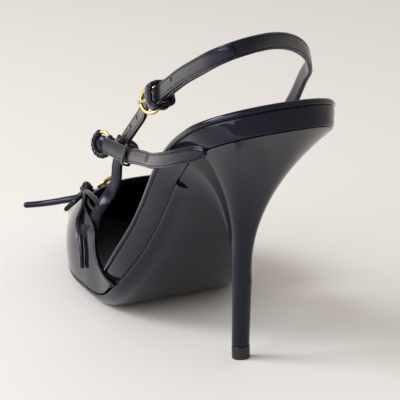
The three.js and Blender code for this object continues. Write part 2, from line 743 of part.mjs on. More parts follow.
// A leather band closed round a stack of straps, standing clear of them on every side
const KEEPER_THICKNESS = 1;
const KEEPER_ROUND = 0.7;
function keeper(station, halfAcross, low, high) {
  const half = halfAcross + GAP + KEEPER_THICKNESS / 2;
  const [bottom, top] = [low - GAP - KEEPER_THICKNESS / 2, high + GAP + KEEPER_THICKNESS / 2];
  const side = half - KEEPER_ROUND;
  const corners = [
    [half, bottom + KEEPER_ROUND, 1, 0], [half, top - KEEPER_ROUND, 1, 0],
    [side, top, 0, 1], [-side, top, 0, 1],
    [-half, top - KEEPER_ROUND, -1, 0], [-half, bottom + KEEPER_ROUND, -1, 0],
    [-side, bottom, 0, -1], [side, bottom, 0, -1],
  ];
  return loftLoop(corners.map(([w, n, outW, outN]) => {
    const p = station.p.clone().addScaledVector(station.w, w).addScaledVector(station.n, n);
    const out = station.w.clone().multiplyScalar(outW).addScaledVector(station.n, outN);
    return stripRing({ p, n: out, w: station.along }, KEEPER_WIDTH, KEEPER_THICKNESS);
  }));
}

const slingLine = anchoredStations(SLING, SLING_ANCHOR, 4);
const nearLine = rowStations(INSTEP_NEAR, 3);
const slingRing = ringFrame(slingLine, SLING_RING_TILT);
const nearRing = ringFrame(nearLine, INSTEP_RING_TILT);

// The middle strap leaves the throat inside the upper's wall, passes under the sling ring's leading
// side, up through it and then along the sling's outer face as far as its tip
const MIDDLE_ROOT = [
  { at: 0.735, around: 0.155 },
  { at: 0.708, around: 0.175 },
];
const BILLET_REACH = 18;

function middleLine() {
  const root = MIDDLE_ROOT.map((row) => onUpper(row.at * LAST_LENGTH, row.around, WALL / 2));
  const rise = STRAP_THICKNESS + GAP;
  const dip = slingRing.centre.clone().addScaledVector(slingRing.ahead, RING_RADIUS)
    .addScaledVector(slingRing.axis, -RING_WIRE / 2 - GAP * 2 - STRAP_THICKNESS);
  const start = lifted(slingLine[0], rise);
  const points = [...root, ...MIDDLE.map(over), dip];
  const turned = facing(95, 32);
  const normals = [turned, turned, ...MIDDLE.map((r) => facing(r.faces, r.tilt)), slingLine[0].n];
  const low = stations([...points, start.p], [...normals, start.n], 4);
  const along = slingLine.slice(1, BILLET_REACH).map((s) => lifted(s, rise));
  return [...low, ...along];
}

const middle = middleLine();

function makeMiddleStrap(clearance) {
  const [width, thickness] = [STRAP_WIDTH, STRAP_THICKNESS].map((size) => size + clearance * 2);
  return loft(middle.map((s) => stripRing(s, width, thickness)));
}

// Upper with its middle strap, one closed solid
function makeVamp() {
  return fromManifold(toManifold(makeShell(0, WALL)).add(toManifold(makeMiddleStrap(0))));
}

const plainStrap = (line) => loft(line.map((s) => stripRing(s, STRAP_WIDTH, STRAP_THICKNESS)));

// The instep strap is a wider tab as far as its keeper
const TAB_END = 0.15;
const TAB_TAPER = 0.25;
const tabbedWidth = (t) => lerp(TAB_WIDTH, STRAP_WIDTH, clamp((t - TAB_END) / TAB_TAPER, 0, 1));

// First station of a line at least so far along it
const stationAt = (line, reach) => line.find((s) => s.p.distanceTo(line[0].p) >= reach);

const SLING_KEEPER_REACH = 6.5;
const INSTEP_KEEPER_REACH = 27;

function makeSlingKeeper() {
  const stack = STRAP_THICKNESS * 1.5 + GAP;
  return keeper(stationAt(slingLine, SLING_KEEPER_REACH), STRAP_WIDTH / 2, -stack, stack);
}

function makeInstepKeeper() {
  const half = STRAP_THICKNESS / 2;
  return keeper(stationAt(nearLine, INSTEP_KEEPER_REACH), TAB_WIDTH / 2, -half, half);
}

// Bow: one lace with a knot, a standing loop, a short end and two long ends, as rows above the footbed
const KNOT = { at: 0.827, side: 0.313, up: 0.707 };
const BOW_LOOP = [
  { at: 0.827, side: 0.313, up: 0.707 },
  { at: 0.771, side: 0.383, up: 0.753 },
  { at: 0.726, side: 0.435, up: 0.760 },
  { at: 0.708, side: 0.487, up: 0.735 },
  { at: 0.717, side: 0.55, up: 0.695 },
  { at: 0.744, side: 0.575, up: 0.695 },
  { at: 0.79, side: 0.45, up: 0.705 },
  { at: 0.827, side: 0.313, up: 0.707 },
];
const BOW_TAIL = [
  { at: 0.827, side: 0.313, up: 0.707, faces: 30, tilt: 40 },
  { at: 0.813, side: 0.487, up: 0.644, faces: 30, tilt: 20 },
  { at: 0.834, side: 0.730, up: 0.579, faces: 60, tilt: 10 },
  { at: 0.861, side: 0.974, up: 0.533, faces: 60, tilt: 10 },
  { at: 0.879, side: 1.183, up: 0.509, faces: 60, tilt: 10 },
];
const BOW_END = [
  { at: 0.827, side: 0.313, up: 0.707, faces: 60, tilt: 60 },
  { at: 0.785, side: 0.64, up: 0.64, faces: 60, tilt: 40 },
  { at: 0.795, side: 0.71, up: 0.585, faces: 60, tilt: 40 },
  { at: 0.802, side: 0.77, up: 0.535, faces: 60, tilt: 40 },
];
const BOW_DROP = [
  { at: 0.827, side: 0.313, up: 0.707, faces: 60, tilt: 60 },
  { at: 0.782, side: 0.504, up: 0.682, faces: 60, tilt: 40 },
  { at: 0.754, side: 0.643, up: 0.626, faces: 70, tilt: 30 },
];
const BOW_DROP_ON_UPPER = [
  { at: 0.732, around: 0.195 },
  { at: 0.704, around: 0.16 },
  { at: 0.682, around: 0.11 },
  { at: 0.676, around: 0.055 },
];
const BOW_RING = { at: 0.79, around: 0.41, rise: 2.0, faces: 40, tilt: 50 };
const BOW_RING_WIRE = 1.2;
const KNOT_SIZE = { x: 2.7, y: 3.4, z: 2.3 };

const bowStrip = (line) => loft(line.map((s) => stripRing(s, BOW_STRIP_WIDTH, BOW_STRIP_THICKNESS)));

function bowLoopLine() {
  const points = BOW_LOOP.map(over);
  const middle = new THREE.Vector3();
  points.forEach((p) => middle.addScaledVector(p, 1 / points.length));
  return stations(points, points.map((p) => p.clone().sub(middle).normalize()), 3);
}

// The long end falls from the knot onto the upper and lies along it
function bowDropLine() {
  const lying = BOW_DROP_ON_UPPER.map((row) => {
    const p = onUpper(row.at * LAST_LENGTH, row.around, -GAP - BOW_STRIP_THICKNESS / 2);
    return { p, n: facing(80, 180 * row.around + 10) };
  });
  const falling = BOW_DROP.map((row) => ({ p: over(row), n: facing(row.faces, row.tilt) }));
  const all = [...falling, ...lying];
  return stations(all.map((r) => r.p), all.map((r) => r.n), 3);
}

function makeKnot() {
  const geometry = new THREE.SphereGeometry(1, 12, 8);
  geometry.deleteAttribute('normal');
  geometry.deleteAttribute('uv');
  geometry.scale(KNOT_SIZE.x, KNOT_SIZE.y, KNOT_SIZE.z);
  const place = over(KNOT);
  geometry.translate(place.x, place.y, place.z);
  return mergeVertices(geometry, 1e-3);
}

function makeBow() {
  const ends = [BOW_TAIL, BOW_END].map((rows) => rowStations(rows, 3));
  const strips = [bowLoopLine(), bowDropLine(), ...ends].map((line) => toManifold(bowStrip(line)));
  const lace = strips.reduce((whole, strip) => whole.add(strip), toManifold(makeKnot()));
  const room = toManifold(makeShell(-GAP, WALL * 2)).add(toManifold(makeMiddleStrap(GAP)));
  const parts = lace.subtract(room).decompose();
  return fromManifold(parts.reduce((most, part) => (part.volume() > most.volume() ? part : most)));
}

function makeBowRing() {
  const centre = onUpper(BOW_RING.at * LAST_LENGTH, BOW_RING.around, -BOW_RING.rise);
  const axis = facing(BOW_RING.faces, BOW_RING.tilt);
  const ahead = new THREE.Vector3(0, 0, 1).cross(axis).normalize();
  const frame = { centre, axis, ahead, w: new THREE.Vector3().crossVectors(axis, ahead) };
  return ringArc(frame, (BOW_RING_DIAMETER - BOW_RING_WIRE) / 2, BOW_RING_WIRE, 0, 360, BOW_RING_STEPS);
}

addPiece('top_piece', makeTopPiece(), TIP_RUBBER);
addPiece('heel', makeHeel(), BLACK_PATENT);
addPiece('outsole', makeOutsole(), BLACK_PATENT);
addPiece('footbed', makeFootbed(), BLACK_PATENT);
addPiece('insole', makeInsole(), INSOLE_LEATHER);
addPiece('vamp', makeVamp(), BLACK_PATENT);
addPiece('sling_strap', foldedStrap(slingLine, () => STRAP_WIDTH), BLACK_PATENT);
addPiece('sling_ring', ringArc(slingRing, RING_RADIUS, RING_WIRE, 0, 360, RING_STEPS), PALE_GOLD);
addPiece('instep_strap_outer', foldedStrap(nearLine, tabbedWidth), BLACK_PATENT);
addPiece('instep_strap_inner', plainStrap(anchoredStations(INSTEP_FAR, INSTEP_ANCHOR, 3)), BLACK_PATENT);
addPiece('instep_ring', ringArc(nearRing, RING_RADIUS, RING_WIRE, 0, 360, RING_STEPS), PALE_GOLD);
addPiece('sling_keeper', makeSlingKeeper(), BLACK_PATENT);
addPiece('instep_keeper', makeInstepKeeper(), BLACK_PATENT);
addPiece('bow', makeBow(), BLACK_PATENT);
addPiece('bow_ring', makeBowRing(), PALE_GOLD);

export default shoe;
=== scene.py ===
"""Slingback shoe in black patent leather, dressed for a pale studio.

The shoe's own tables are in millimetres, as a last maker would write them, and one
helper turns every mesh to Blender's metres. The origin is the middle of the heel tip's
underside, +X runs toward the toe and +Y toward the outer side of the left foot.
"""
from collections import namedtuple
from math import copysign, cos, pi, radians, sin, sqrt

import bpy
from bpy.props import FloatProperty, FloatVectorProperty, PointerProperty
from bpy.types import Operator, Panel, PropertyGroup
from mathutils import Matrix, Vector, noise


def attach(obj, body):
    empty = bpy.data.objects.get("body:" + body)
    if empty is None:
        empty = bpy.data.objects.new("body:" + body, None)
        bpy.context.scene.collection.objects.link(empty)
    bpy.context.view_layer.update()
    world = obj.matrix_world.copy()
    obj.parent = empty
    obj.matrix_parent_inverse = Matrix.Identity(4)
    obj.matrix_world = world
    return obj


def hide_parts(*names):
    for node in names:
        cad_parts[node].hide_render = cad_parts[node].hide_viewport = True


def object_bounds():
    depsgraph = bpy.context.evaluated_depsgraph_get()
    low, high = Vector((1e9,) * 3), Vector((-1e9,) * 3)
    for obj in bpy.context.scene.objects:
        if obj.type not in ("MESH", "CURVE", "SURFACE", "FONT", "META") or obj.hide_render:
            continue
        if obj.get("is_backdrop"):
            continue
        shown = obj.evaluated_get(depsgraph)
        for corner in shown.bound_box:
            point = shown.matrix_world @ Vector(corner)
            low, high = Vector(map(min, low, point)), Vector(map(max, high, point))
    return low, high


bl_info = {
    "name": "Patent Slingback Shoe",
    "version": (1, 0, 0),
    "blender": (4, 5, 0),
    "location": "3D View > Sidebar > Shoe",
    "description": "Dresses a slingback shoe with patent leather, stitching and pale gold rings",
    "category": "Object",
}

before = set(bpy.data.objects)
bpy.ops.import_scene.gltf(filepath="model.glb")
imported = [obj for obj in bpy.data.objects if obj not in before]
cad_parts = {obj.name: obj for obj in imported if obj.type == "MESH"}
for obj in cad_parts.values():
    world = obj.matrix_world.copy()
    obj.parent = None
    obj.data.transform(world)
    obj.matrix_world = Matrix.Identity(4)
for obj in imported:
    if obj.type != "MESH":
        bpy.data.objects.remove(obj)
CAD_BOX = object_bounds()

MM = 0.001

# Last, in millimetres
LAST_LENGTH = 260.0
SEAT_WIDTH = 57.5
WAIST_WIDTH = 49.6
BALL_WIDTH = 70.0
SEAT_HEIGHT = 100.5
FEATHER_HEIGHT = 6.5
TIP_SETBACK = 49.5
TOE_RADIUS = 12.0
TOE_SPRING = 5.0
INSTEP_HEIGHT = 47.0
FOREFOOT_SWING = 8.0
SIDE_FULLNESS = 0.84
CROWN_FULLNESS = 0.95
FLANK_SWELL = 2.2
SPRING_START = 0.827
PROFILE_STEPS = 520

# Wrapped footbed and its insole
FOOTBED_THICKNESS = 10.4
COVER_BAND = 2.6
COVER_STEP = 0.5
RIM_WIDTH = 2.4
RIM_DEPTH = 1.2
INSOLE_THICKNESS = 0.8
WAIST_TUCK = 6.0

# Upper, straps and rings
BINDING_STEP = 0.5
TAB_WIDTH = 6.6
BOW_RING_DIAMETER = 8.0
BOW_RING_WIRE = 1.2
SLING_RING_TILT = 36.0
INSTEP_RING_TILT = 24.0
FOLD_SLACK = 0.7
FOLD_RETURN = 9.0
BILLET_REACH = 64
BILLET_TIP = 2.2
NEAR_TUCK_REACH = 22.0
NEAR_TUCK_DEPTH = 3.4
NEAR_TUCK_LIFT = 0.9
STITCH_INSET = 0.92
HOLE_DIAMETER = 1.5
HOLE_RIM = 0.32

# Keepers: distance from the strap's head, width, thickness, squareness and crumple
Keeper = namedtuple("Keeper", "at width thickness corner crumple")
SLING_KEEPER = Keeper(4.6, 6.2, 2.1, 0.6, 0.9)
INSTEP_KEEPER = Keeper(27.0, 3.2, 0.9, 0.3, 0.0)

# Leather wound on the front ring: its turns, radius, swell, and where it starts and ends
WRAP_TURNS = 13
WRAP_RADIUS = 1.25
WRAP_SWELL = 0.22
WRAP_FROM = -62
WRAP_TO = 228

# Prong: places ahead along the ring's radius and above it in wires, from the bar to the tip
PRONG = [(-0.95, 0.2), (-0.6, 1.5), (-0.1, 1.7), (0.45, 1.45), (0.8, 1.15), (1.0, 0.95), (1.1, 0.7)]
PRONG_RADIUS = 0.62
PRONG_TAPER = 0.3

# Knot: the core's half sizes, and the turn and lean of each wrap of lace over it
KNOT_CORE = (2.4, 3.1, 2.0)
KNOT_WRAPS = ((0.5, 0.2), (-0.35, -0.25))
KNOT_WRAP_RADIUS = 2.35
KNOT_WRAP_APART = 0.7

# Heel
TIP_WIDTH = 7.0
TOP_PIECE_HEIGHT = 5.2
COLUMN_HEIGHT = 32.0
COLUMN_WIDTH = 7.8
HEEL_REACH = 66.0
BACK_POWER = 2.0
BREAST_POWER = 4.5
COLUMN_TAPER = 0.6
COLUMN_LEAN = 0.11
BREAST_CORNER = 0.22
SEAT_ROUNDING = 1.6
TIP_OVERHANG = 0.1

GAP = 0.3

Pitch = namedtuple("Pitch", "at share")
Width = namedtuple("Width", "at width swing")
Crown = namedtuple("Crown", "at share")
Board = namedtuple("Board", "at thick tuck sole")
Edge = namedtuple("Edge", "at edge")
Row = namedtuple("Row", "at side up faces tilt")
Spot = namedtuple("Spot", "at side up")
Anchor = namedtuple("Anchor", "at rise")
OnUpper = namedtuple("OnUpper", "at around")
Station = namedtuple("Station", "p n along w")
Frame = namedtuple("Frame", "centre ahead axis w")

# Pitch of the footbed from the back of the seat to the toe, as shares of the steepest pitch
PITCH = [
    Pitch(0.0, 0.39),
    Pitch(0.154, 0.49),
    Pitch(0.288, 0.955),
    Pitch(0.404, 1.0),
    Pitch(0.5, 0.845),
    Pitch(0.577, 0.6),
    Pitch(0.654, 0.0),
]

# Full width of the last and how far the forefoot swings inward
OUTLINE = [
    Width(0.0, SEAT_WIDTH, 0),
    Width(0.108, SEAT_WIDTH, 0),
    Width(0.231, (WAIST_WIDTH + SEAT_WIDTH) / 2, 0),
    Width(0.385, WAIST_WIDTH, 0),
    Width(0.538, BALL_WIDTH * 0.87, 0.28),
    Width(0.615, BALL_WIDTH * 0.94, 0.75),
    Width(0.68, BALL_WIDTH * 0.99, 1),
    Width(0.762, BALL_WIDTH * 0.94, 1.02),
    Width(0.835, BALL_WIDTH * 0.79, 1.08),
    Width(0.904, BALL_WIDTH * 0.56, 1.06),
    Width(0.958, TOE_RADIUS * 2.2, 1.0),
    Width(1.0, TOE_RADIUS * 1.75, 1.0),
]

# Height of the upper's crown above the feather line, as shares of the instep height
CROWN = [
    Crown(0.55, 0.98),
    Crown(0.64, 0.93),
    Crown(0.69, 0.88),
    Crown(0.74, 0.83),
    Crown(0.78, 0.78),
    Crown(0.827, 0.7),
    Crown(0.877, 0.57),
    Crown(0.923, 0.43),
    Crown(1.0, 0.24),
]

# Footbed thickness, how far its lower edge tucks in, and the outsole's depth under it
FOOTBED = [
    Board(0.0, 1.0, 0.08, 0.4),
    Board(0.231, 0.86, 1.0, 0.45),
    Board(0.423, 1.06, 0.58, 0.6),
    Board(0.55, 0.95, 0.2, 0.85),
    Board(0.6, 0.8, 0.08, 0.94),
    Board(0.66, 0.5, 0.0, 1.0),
    Board(0.83, 0.4, 0.0, 1.0),
    Board(1.0, 0.36, 0.0, 0.8),
]

# The throat, from the outer feather line (0) over the crown to the inner one (1)
THROAT = [
    Edge(0.0, 0.535),
    Edge(0.045, 0.577),
    Edge(0.09, 0.612),
    Edge(0.12, 0.627),
    Edge(0.15, 0.638),
    Edge(0.18, 0.648),
    Edge(0.205, 0.66),
    Edge(0.235, 0.7),
    Edge(0.265, 0.745),
    Edge(0.3, 0.768),
    Edge(0.34, 0.769),
    Edge(0.39, 0.76),
    Edge(0.46, 0.742),
    Edge(0.54, 0.73),
    Edge(0.7, 0.69),
    Edge(0.83, 0.632),
    Edge(1.0, 0.572),
]

# Room that the upper's wall takes beside the footbed
WALL_ROOM = [
    Pitch(0.5, 0),
    Pitch(0.53, 0.15),
    Pitch(0.6, 0.3),
    Pitch(0.65, 1.05),
    Pitch(0.83, 1.15),
    Pitch(1.0, 1.7),
]

# Sling: from its ring on the outer side, round the back of the ankle, to the inner side
SLING = [
    Row(0.347, 0.703, 1.010, 97, 8),
    Row(0.251, 0.765, 0.769, 97, 8),
    Row(0.167, 0.835, 0.672, 96, 6),
    Row(0.088, 0.887, 0.649, 98, 4),
    Row(0.04, 0.877, 0.653, 108, 2),
    Row(0.018, 0.78, 0.668, 128, 0),
    Row(0.01, 0.6, 0.685, 150, 0),
    Row(0.016, 0.4, 0.702, 170, 0),
    Row(0.028, 0.191, 0.716, 190, 2),
    Row(0.05, -0.104, 0.719, 205, 4),
    Row(0.08, -0.417, 0.7, 222, 6),
    Row(0.109, -0.661, 0.66, 238, 6),
    Row(0.144, -0.852, 0.604, 250, 4),
    Row(0.187, -0.945, 0.571, 260, 2),
    Row(0.228, -0.985, 0.51, 266, 0),
]
SLING_ANCHOR = [Anchor(0.248, 1.5), Anchor(0.25, 0.9), Anchor(0.252, 0.3)]

# Outer half of the instep strap, from its ring back to the side of the footbed
INSTEP_NEAR = [
    Row(0.672, 0.522, 1.293, 82, 14),
    Row(0.639, 0.536, 1.297, 83, 15),
    Row(0.559, 0.584, 1.173, 86, 20),
    Row(0.487, 0.661, 0.983, 88, 22),
    Row(0.379, 0.793, 0.618, 90, 22),
    Row(0.29, 0.935, 0.315, 90, 12),
    Row(0.215, 1.012, 0.118, 90, 4),
    Row(0.174, 1.023, 0.051, 91, 1),
    Row(0.142, 1.016, 0.019, 93, 2),
    Row(0.115, 1.005, -0.006, 96, 0),
    Row(0.091, 0.988, -0.024, 100, 0),
]

# Inner half of the instep strap, from under the ring to the inner side of the footbed
INSTEP_FAR = [
    Row(0.7, 0.24, 1.275, 80, 24),
    Row(0.68, 0.15, 1.25, 64, 36),
    Row(0.664, 0.04, 1.19, 30, 50),
    Row(0.651, -0.12, 1.12, 350, 54),
    Row(0.633, -0.34, 1.0, 318, 48),
    Row(0.603, -0.59, 0.82, 298, 38),
    Row(0.565, -0.8, 0.62, 285, 28),
    Row(0.522, -0.93, 0.45, 276, 18),
]
INSTEP_ANCHOR = [Anchor(0.482, 1.35), Anchor(0.462, 0.85), Anchor(0.45, 0.3)]

# Middle strap: it leaves the upper at the outer throat edge and rises under the instep strap
# to the sling's ring
MIDDLE_ROOT = [OnUpper(0.735, 0.155), OnUpper(0.708, 0.175)]
MIDDLE = [
    Row(0.683, 0.783, 0.5, 118, 22),
    Row(0.693, 0.689, 0.572, 116, 22),
    Row(0.704, 0.574, 0.644, 114, 22),
    Row(0.707, 0.452, 0.719, 112, 20),
    Row(0.7, 0.355, 0.819, 110, 14),
    Row(0.687, 0.327, 0.942, 108, 8),
    Row(0.68, 0.323, 1.081, 106, 6),
    Row(0.661, 0.335, 1.227, 98, 6),
    Row(0.628, 0.386, 1.356, 92, 6),
    Row(0.554, 0.482, 1.407, 92, 6),
    Row(0.457, 0.607, 1.275, 94, 6),
]
BILLET_HOLES = (70.7, 80.8, 140.0)
HOLE_OFF_CENTRE = -0.7

# Bow: one lace with a knot, a standing loop, a short end and two long ends
KNOT = Spot(0.827, 0.313, 0.672)
BOW_LOOP = [
    KNOT,
    Spot(0.785, 0.44, 0.7),
    Spot(0.752, 0.49, 0.712),
    Spot(0.72, 0.52, 0.695),
    Spot(0.706, 0.55, 0.655),
    Spot(0.716, 0.58, 0.628),
    Spot(0.745, 0.56, 0.64),
    Spot(0.785, 0.42, 0.67),
    KNOT,
]
BOW_TAIL = [
    Row(*KNOT, 60, 5),
    Row(0.813, 0.487, 0.628, 60, 8),
    Row(0.834, 0.730, 0.579, 60, 20),
    Row(0.861, 0.974, 0.533, 60, 30),
    Row(0.879, 1.183, 0.509, 60, 36),
]
BOW_END = [
    Row(*KNOT, 60, 60),
    Row(0.785, 0.64, 0.64, 60, 40),
    Row(0.795, 0.71, 0.585, 60, 40),
    Row(0.802, 0.77, 0.535, 60, 40),
]
BOW_DROP = [
    Row(*KNOT, 60, 60),
    Row(0.782, 0.504, 0.682, 60, 40),
    Row(0.754, 0.643, 0.626, 70, 30),
]
BOW_DROP_ON_UPPER = [
    OnUpper(0.732, 0.195),
    OnUpper(0.704, 0.16),
    OnUpper(0.682, 0.11),
    OnUpper(0.676, 0.055),
]
# Short seam on the upper, beside the lace's long end
UPPER_SEAM = [
    OnUpper(0.766, 0.205),
    OnUpper(0.742, 0.18),
    OnUpper(0.717, 0.145),
    OnUpper(0.698, 0.105),
    OnUpper(0.688, 0.07),
]
BOW_RING_AT = 0.79
BOW_RING_AROUND = 0.41
BOW_RING_RISE = 1.2
BOW_RING_FACES = 40
BOW_RING_LEAN = 50

# Studio light: softboxes in metres and watts, and the sky's even glow
Softbox = namedtuple("Softbox", "name place aim size power")
SOFTBOXES = [
    Softbox("key_softbox", (0.75, 1.35, 1.15), (0.03, 0.0, 0.05), 0.8, 22),
    Softbox("left_softbox", (-0.2, 1.2, 0.6), (0.1, 0.0, 0.05), 0.9, 9),
]
SOFTBOX_COLOUR = (0.95, 0.97, 1.0)
SKY_COLOUR = "E0DAD2"
SKY_STRENGTH = 0.75

# Camera: turn and pitch about the shoe, in degrees, and its lens
CAMERA_TURN = 24.93
CAMERA_PITCH = 15.94
CAMERA_ROLL = -2.12
CAMERA_DISTANCE = 664.36
CAMERA_AIM = Vector((0.0, 0.0, 60.0))
CAMERA_SHIFT = (-13.7, 3.22)
CAMERA_LENS = 158.03
SENSOR_WIDTH = 36.0


def clamp(value, low, high):
    return max(low, min(high, value))


def lerp(a, b, t):
    return a + (b - a) * t


def runs(rows, column, at):
    """Reads one column of a table along its "at" column, as straight runs."""
    if at <= rows[0].at:
        return getattr(rows[0], column)
    if at >= rows[-1].at:
        return getattr(rows[-1], column)
    after = next(i for i, row in enumerate(rows) if row.at >= at)
    a, b = rows[after - 1], rows[after]
    return lerp(getattr(a, column), getattr(b, column), (at - a.at) / (b.at - a.at))


def smooth(rows, column, at):
    """Reads one column of a table along its "at" column, as a smooth curve."""
    last = len(rows) - 1
    here = clamp(at, rows[0].at, rows[last].at)
    after = clamp(next(i for i, row in enumerate(rows) if row.at >= here), 1, last)
    a, b = rows[after - 1], rows[after]
    before, beyond = rows[max(after - 2, 0)], rows[min(after + 1, last)]
    from_value, to_value = getattr(a, column), getattr(b, column)
    span = b.at - a.at
    t = (here - a.at) / span
    slope_a = (to_value - getattr(before, column)) / (b.at - before.at) * span
    slope_b = (getattr(beyond, column) - from_value) / (beyond.at - a.at) * span
    t2, t3 = t * t, t * t * t
    return ((2 * t3 - 3 * t2 + 1) * from_value + (t3 - 2 * t2 + t) * slope_a
            + (3 * t2 - 2 * t3) * to_value + (t3 - t2) * slope_b)


def walk_profile(steepest):
    """Walks down the footbed's pitch from the back of the seat, in small even steps."""
    step = LAST_LENGTH / PROFILE_STEPS
    walk = [(-TIP_SETBACK, SEAT_HEIGHT, radians(steepest * PITCH[0].share))]
    for i in range(1, PROFILE_STEPS + 1):
        x, z, before = walk[-1]
        pitch = radians(steepest * runs(PITCH, "share", i / PROFILE_STEPS))
        mean = (pitch + before) / 2
        walk.append((x + cos(mean) * step, z - sin(mean) * step, pitch))
    return walk


def solve_profile():
    """Finds the steepest pitch that brings the profile down to the feather height."""
    low, high = 5.0, 88.0
    for _ in range(40):
        middle = (low + high) / 2
        if walk_profile(middle)[-1][1] > FEATHER_HEIGHT:
            low = middle
        else:
            high = middle
    return walk_profile(low)


PROFILE = solve_profile()


def on_last(s, y, n):
    """Place on the feather line's surface: s from the back of the seat, n square to it."""
    at = clamp(s / LAST_LENGTH, 0, 1)
    index = min(int(at * PROFILE_STEPS), PROFILE_STEPS - 1)
    t = at * PROFILE_STEPS - index
    x, z, pitch = (lerp(a, b, t) for a, b in zip(PROFILE[index], PROFILE[index + 1]))
    rise = TOE_SPRING * max(0, (at - SPRING_START) / (1 - SPRING_START)) ** 2
    return Vector((x + sin(pitch) * n, y, z + cos(pitch) * n + rise))


def round_end(distance, radius):
    """How far a rounded end has opened at a distance from its tip."""
    return sqrt(max(0, 1 - max(0, 1 - distance / radius) ** 2))


def half_width(s, inset):
    half = smooth(OUTLINE, "width", s / LAST_LENGTH) / 2 - inset
    seat = round_end(s - inset, SEAT_WIDTH / 2 - inset)
    toe = round_end(LAST_LENGTH - inset - s, TOE_RADIUS - inset)
    return max(half, 0) * seat * toe


def swing_at(s):
    return -FOREFOOT_SWING * smooth(OUTLINE, "swing", s / LAST_LENGTH)


def on_upper(s, around, inset):
    """Surface of the upper: around runs from the outer feather line, 0, to the inner, 1."""
    angle = pi * around
    toe = round_end(LAST_LENGTH - inset - s, TOE_RADIUS - inset)
    crown = (INSTEP_HEIGHT * smooth(CROWN, "share", s / LAST_LENGTH) - inset) * toe
    across = copysign(abs(cos(angle)) ** SIDE_FULLNESS, cos(angle))
    y = swing_at(s) + half_width(s, inset) * across + FLANK_SWELL * toe * sin(2 * angle)
    rise = crown * max(sin(angle), 0) ** CROWN_FULLNESS
    return on_last(s, y, GAP) + Vector((0, 0, rise))


def footbed_thickness(s):
    return FOOTBED_THICKNESS * smooth(FOOTBED, "thick", s / LAST_LENGTH)


def tuck_at(s):
    return WAIST_TUCK * smooth(FOOTBED, "tuck", s / LAST_LENGTH)


def wall_room(s):
    wall = bpy.context.scene.shoe_sizes.wall / MM
    return (wall + BINDING_STEP + GAP) * runs(WALL_ROOM, "share", s / LAST_LENGTH)


def crowded(count, ends=0.0):
    """Even shares from 0 to 1, drawn closer together at both ends."""
    return [lerp(i / count, (1 - cos(pi * i / count)) / 2, ends) for i in range(count + 1)]


def facing(faces, tilt):
    """Direction from a compass angle about +Z and a rise above the floor, in degrees."""
    a, e = radians(faces), radians(tilt)
    return Vector((cos(a) * cos(e), sin(a) * cos(e), sin(e)))


def over(row):
    """Place above the footbed from shares of the last, half the seat and the instep."""
    place = on_last(row.at * LAST_LENGTH, row.side * SEAT_WIDTH / 2, 0)
    return place + Vector((0, 0, row.up * INSTEP_HEIGHT))


# Curves

def spline_point(points, t):
    """Point of a centripetal curve through points, t from 0 to 1 over its even spans."""
    spans = len(points) - 1
    index = min(int(t * spans + 1e-9), spans - 1)
    weight = t * spans - index
    p1, p2 = points[index], points[index + 1]
    p0 = points[index - 1] if index > 0 else p1 * 2 - p2
    p3 = points[index + 2] if index + 2 <= spans else p2 * 2 - p1
    d0, d1, d2 = (max(sqrt((b - a).length), 1e-4) for a, b in ((p0, p1), (p1, p2), (p2, p3)))
    t1 = ((p1 - p0) / d0 - (p2 - p0) / (d0 + d1) + (p2 - p1) / d1) * d1
    t2 = ((p2 - p1) / d1 - (p3 - p1) / (d1 + d2) + (p3 - p2) / d2) * d1
    c2 = p1 * -3 + p2 * 3 - t1 * 2 - t2
    c3 = p1 * 2 - p2 * 2 + t1 + t2
    return p1 + t1 * weight + c2 * weight ** 2 + c3 * weight ** 3


def stations(points, normals, steps, soften=4):
    """Runs a smooth line through points and keeps a facing direction square to it."""
    spans = len(points) - 1
    count = spans * steps
    places = [spline_point(points, i / count) for i in range(count + 1)]
    turned = []
    for i in range(count + 1):
        span = min(i // steps, spans - 1)
        turned.append(normals[span].lerp(normals[span + 1], i / steps - span))
    for _ in range(soften):
        turned = [(turned[max(i - 1, 0)] + turned[i] * 2 + turned[min(i + 1, count)]) / 4
                  for i in range(count + 1)]
    line = []
    for i, (p, n) in enumerate(zip(places, turned)):
        along = (places[min(i + 1, count)] - places[max(i - 1, 0)]).normalized()
        square = (n - along * n.dot(along)).normalized()
        line.append(Station(p, square, along, along.cross(square)))
    return line


def row_stations(rows, steps):
    return stations([over(row) for row in rows], [facing(row.faces, row.tilt) for row in rows], steps)


def anchored_stations(rows, anchor, steps, thickness):
    """Row stations whose last points lie against the inner side of the footbed."""
    points = [over(row) for row in rows]
    normals = [facing(row.faces, row.tilt) for row in rows]
    for row in anchor:
        s = row.at * LAST_LENGTH
        out = half_width(s, 0) - wall_room(s) + GAP + thickness / 2
        points.append(on_last(s, swing_at(s) - out, GAP + footbed_thickness(s) * row.rise))
        normals.append(facing(270, 0))
    return stations(points, normals, steps)


def lifted(station, rise):
    return station._replace(p=station.p + station.n * rise)


# Mesh helpers

def select_only(*pieces):
    bpy.ops.object.select_all(action="DESELECT")
    for piece in pieces:
        piece.select_set(True)
    bpy.context.view_layer.objects.active = pieces[0]


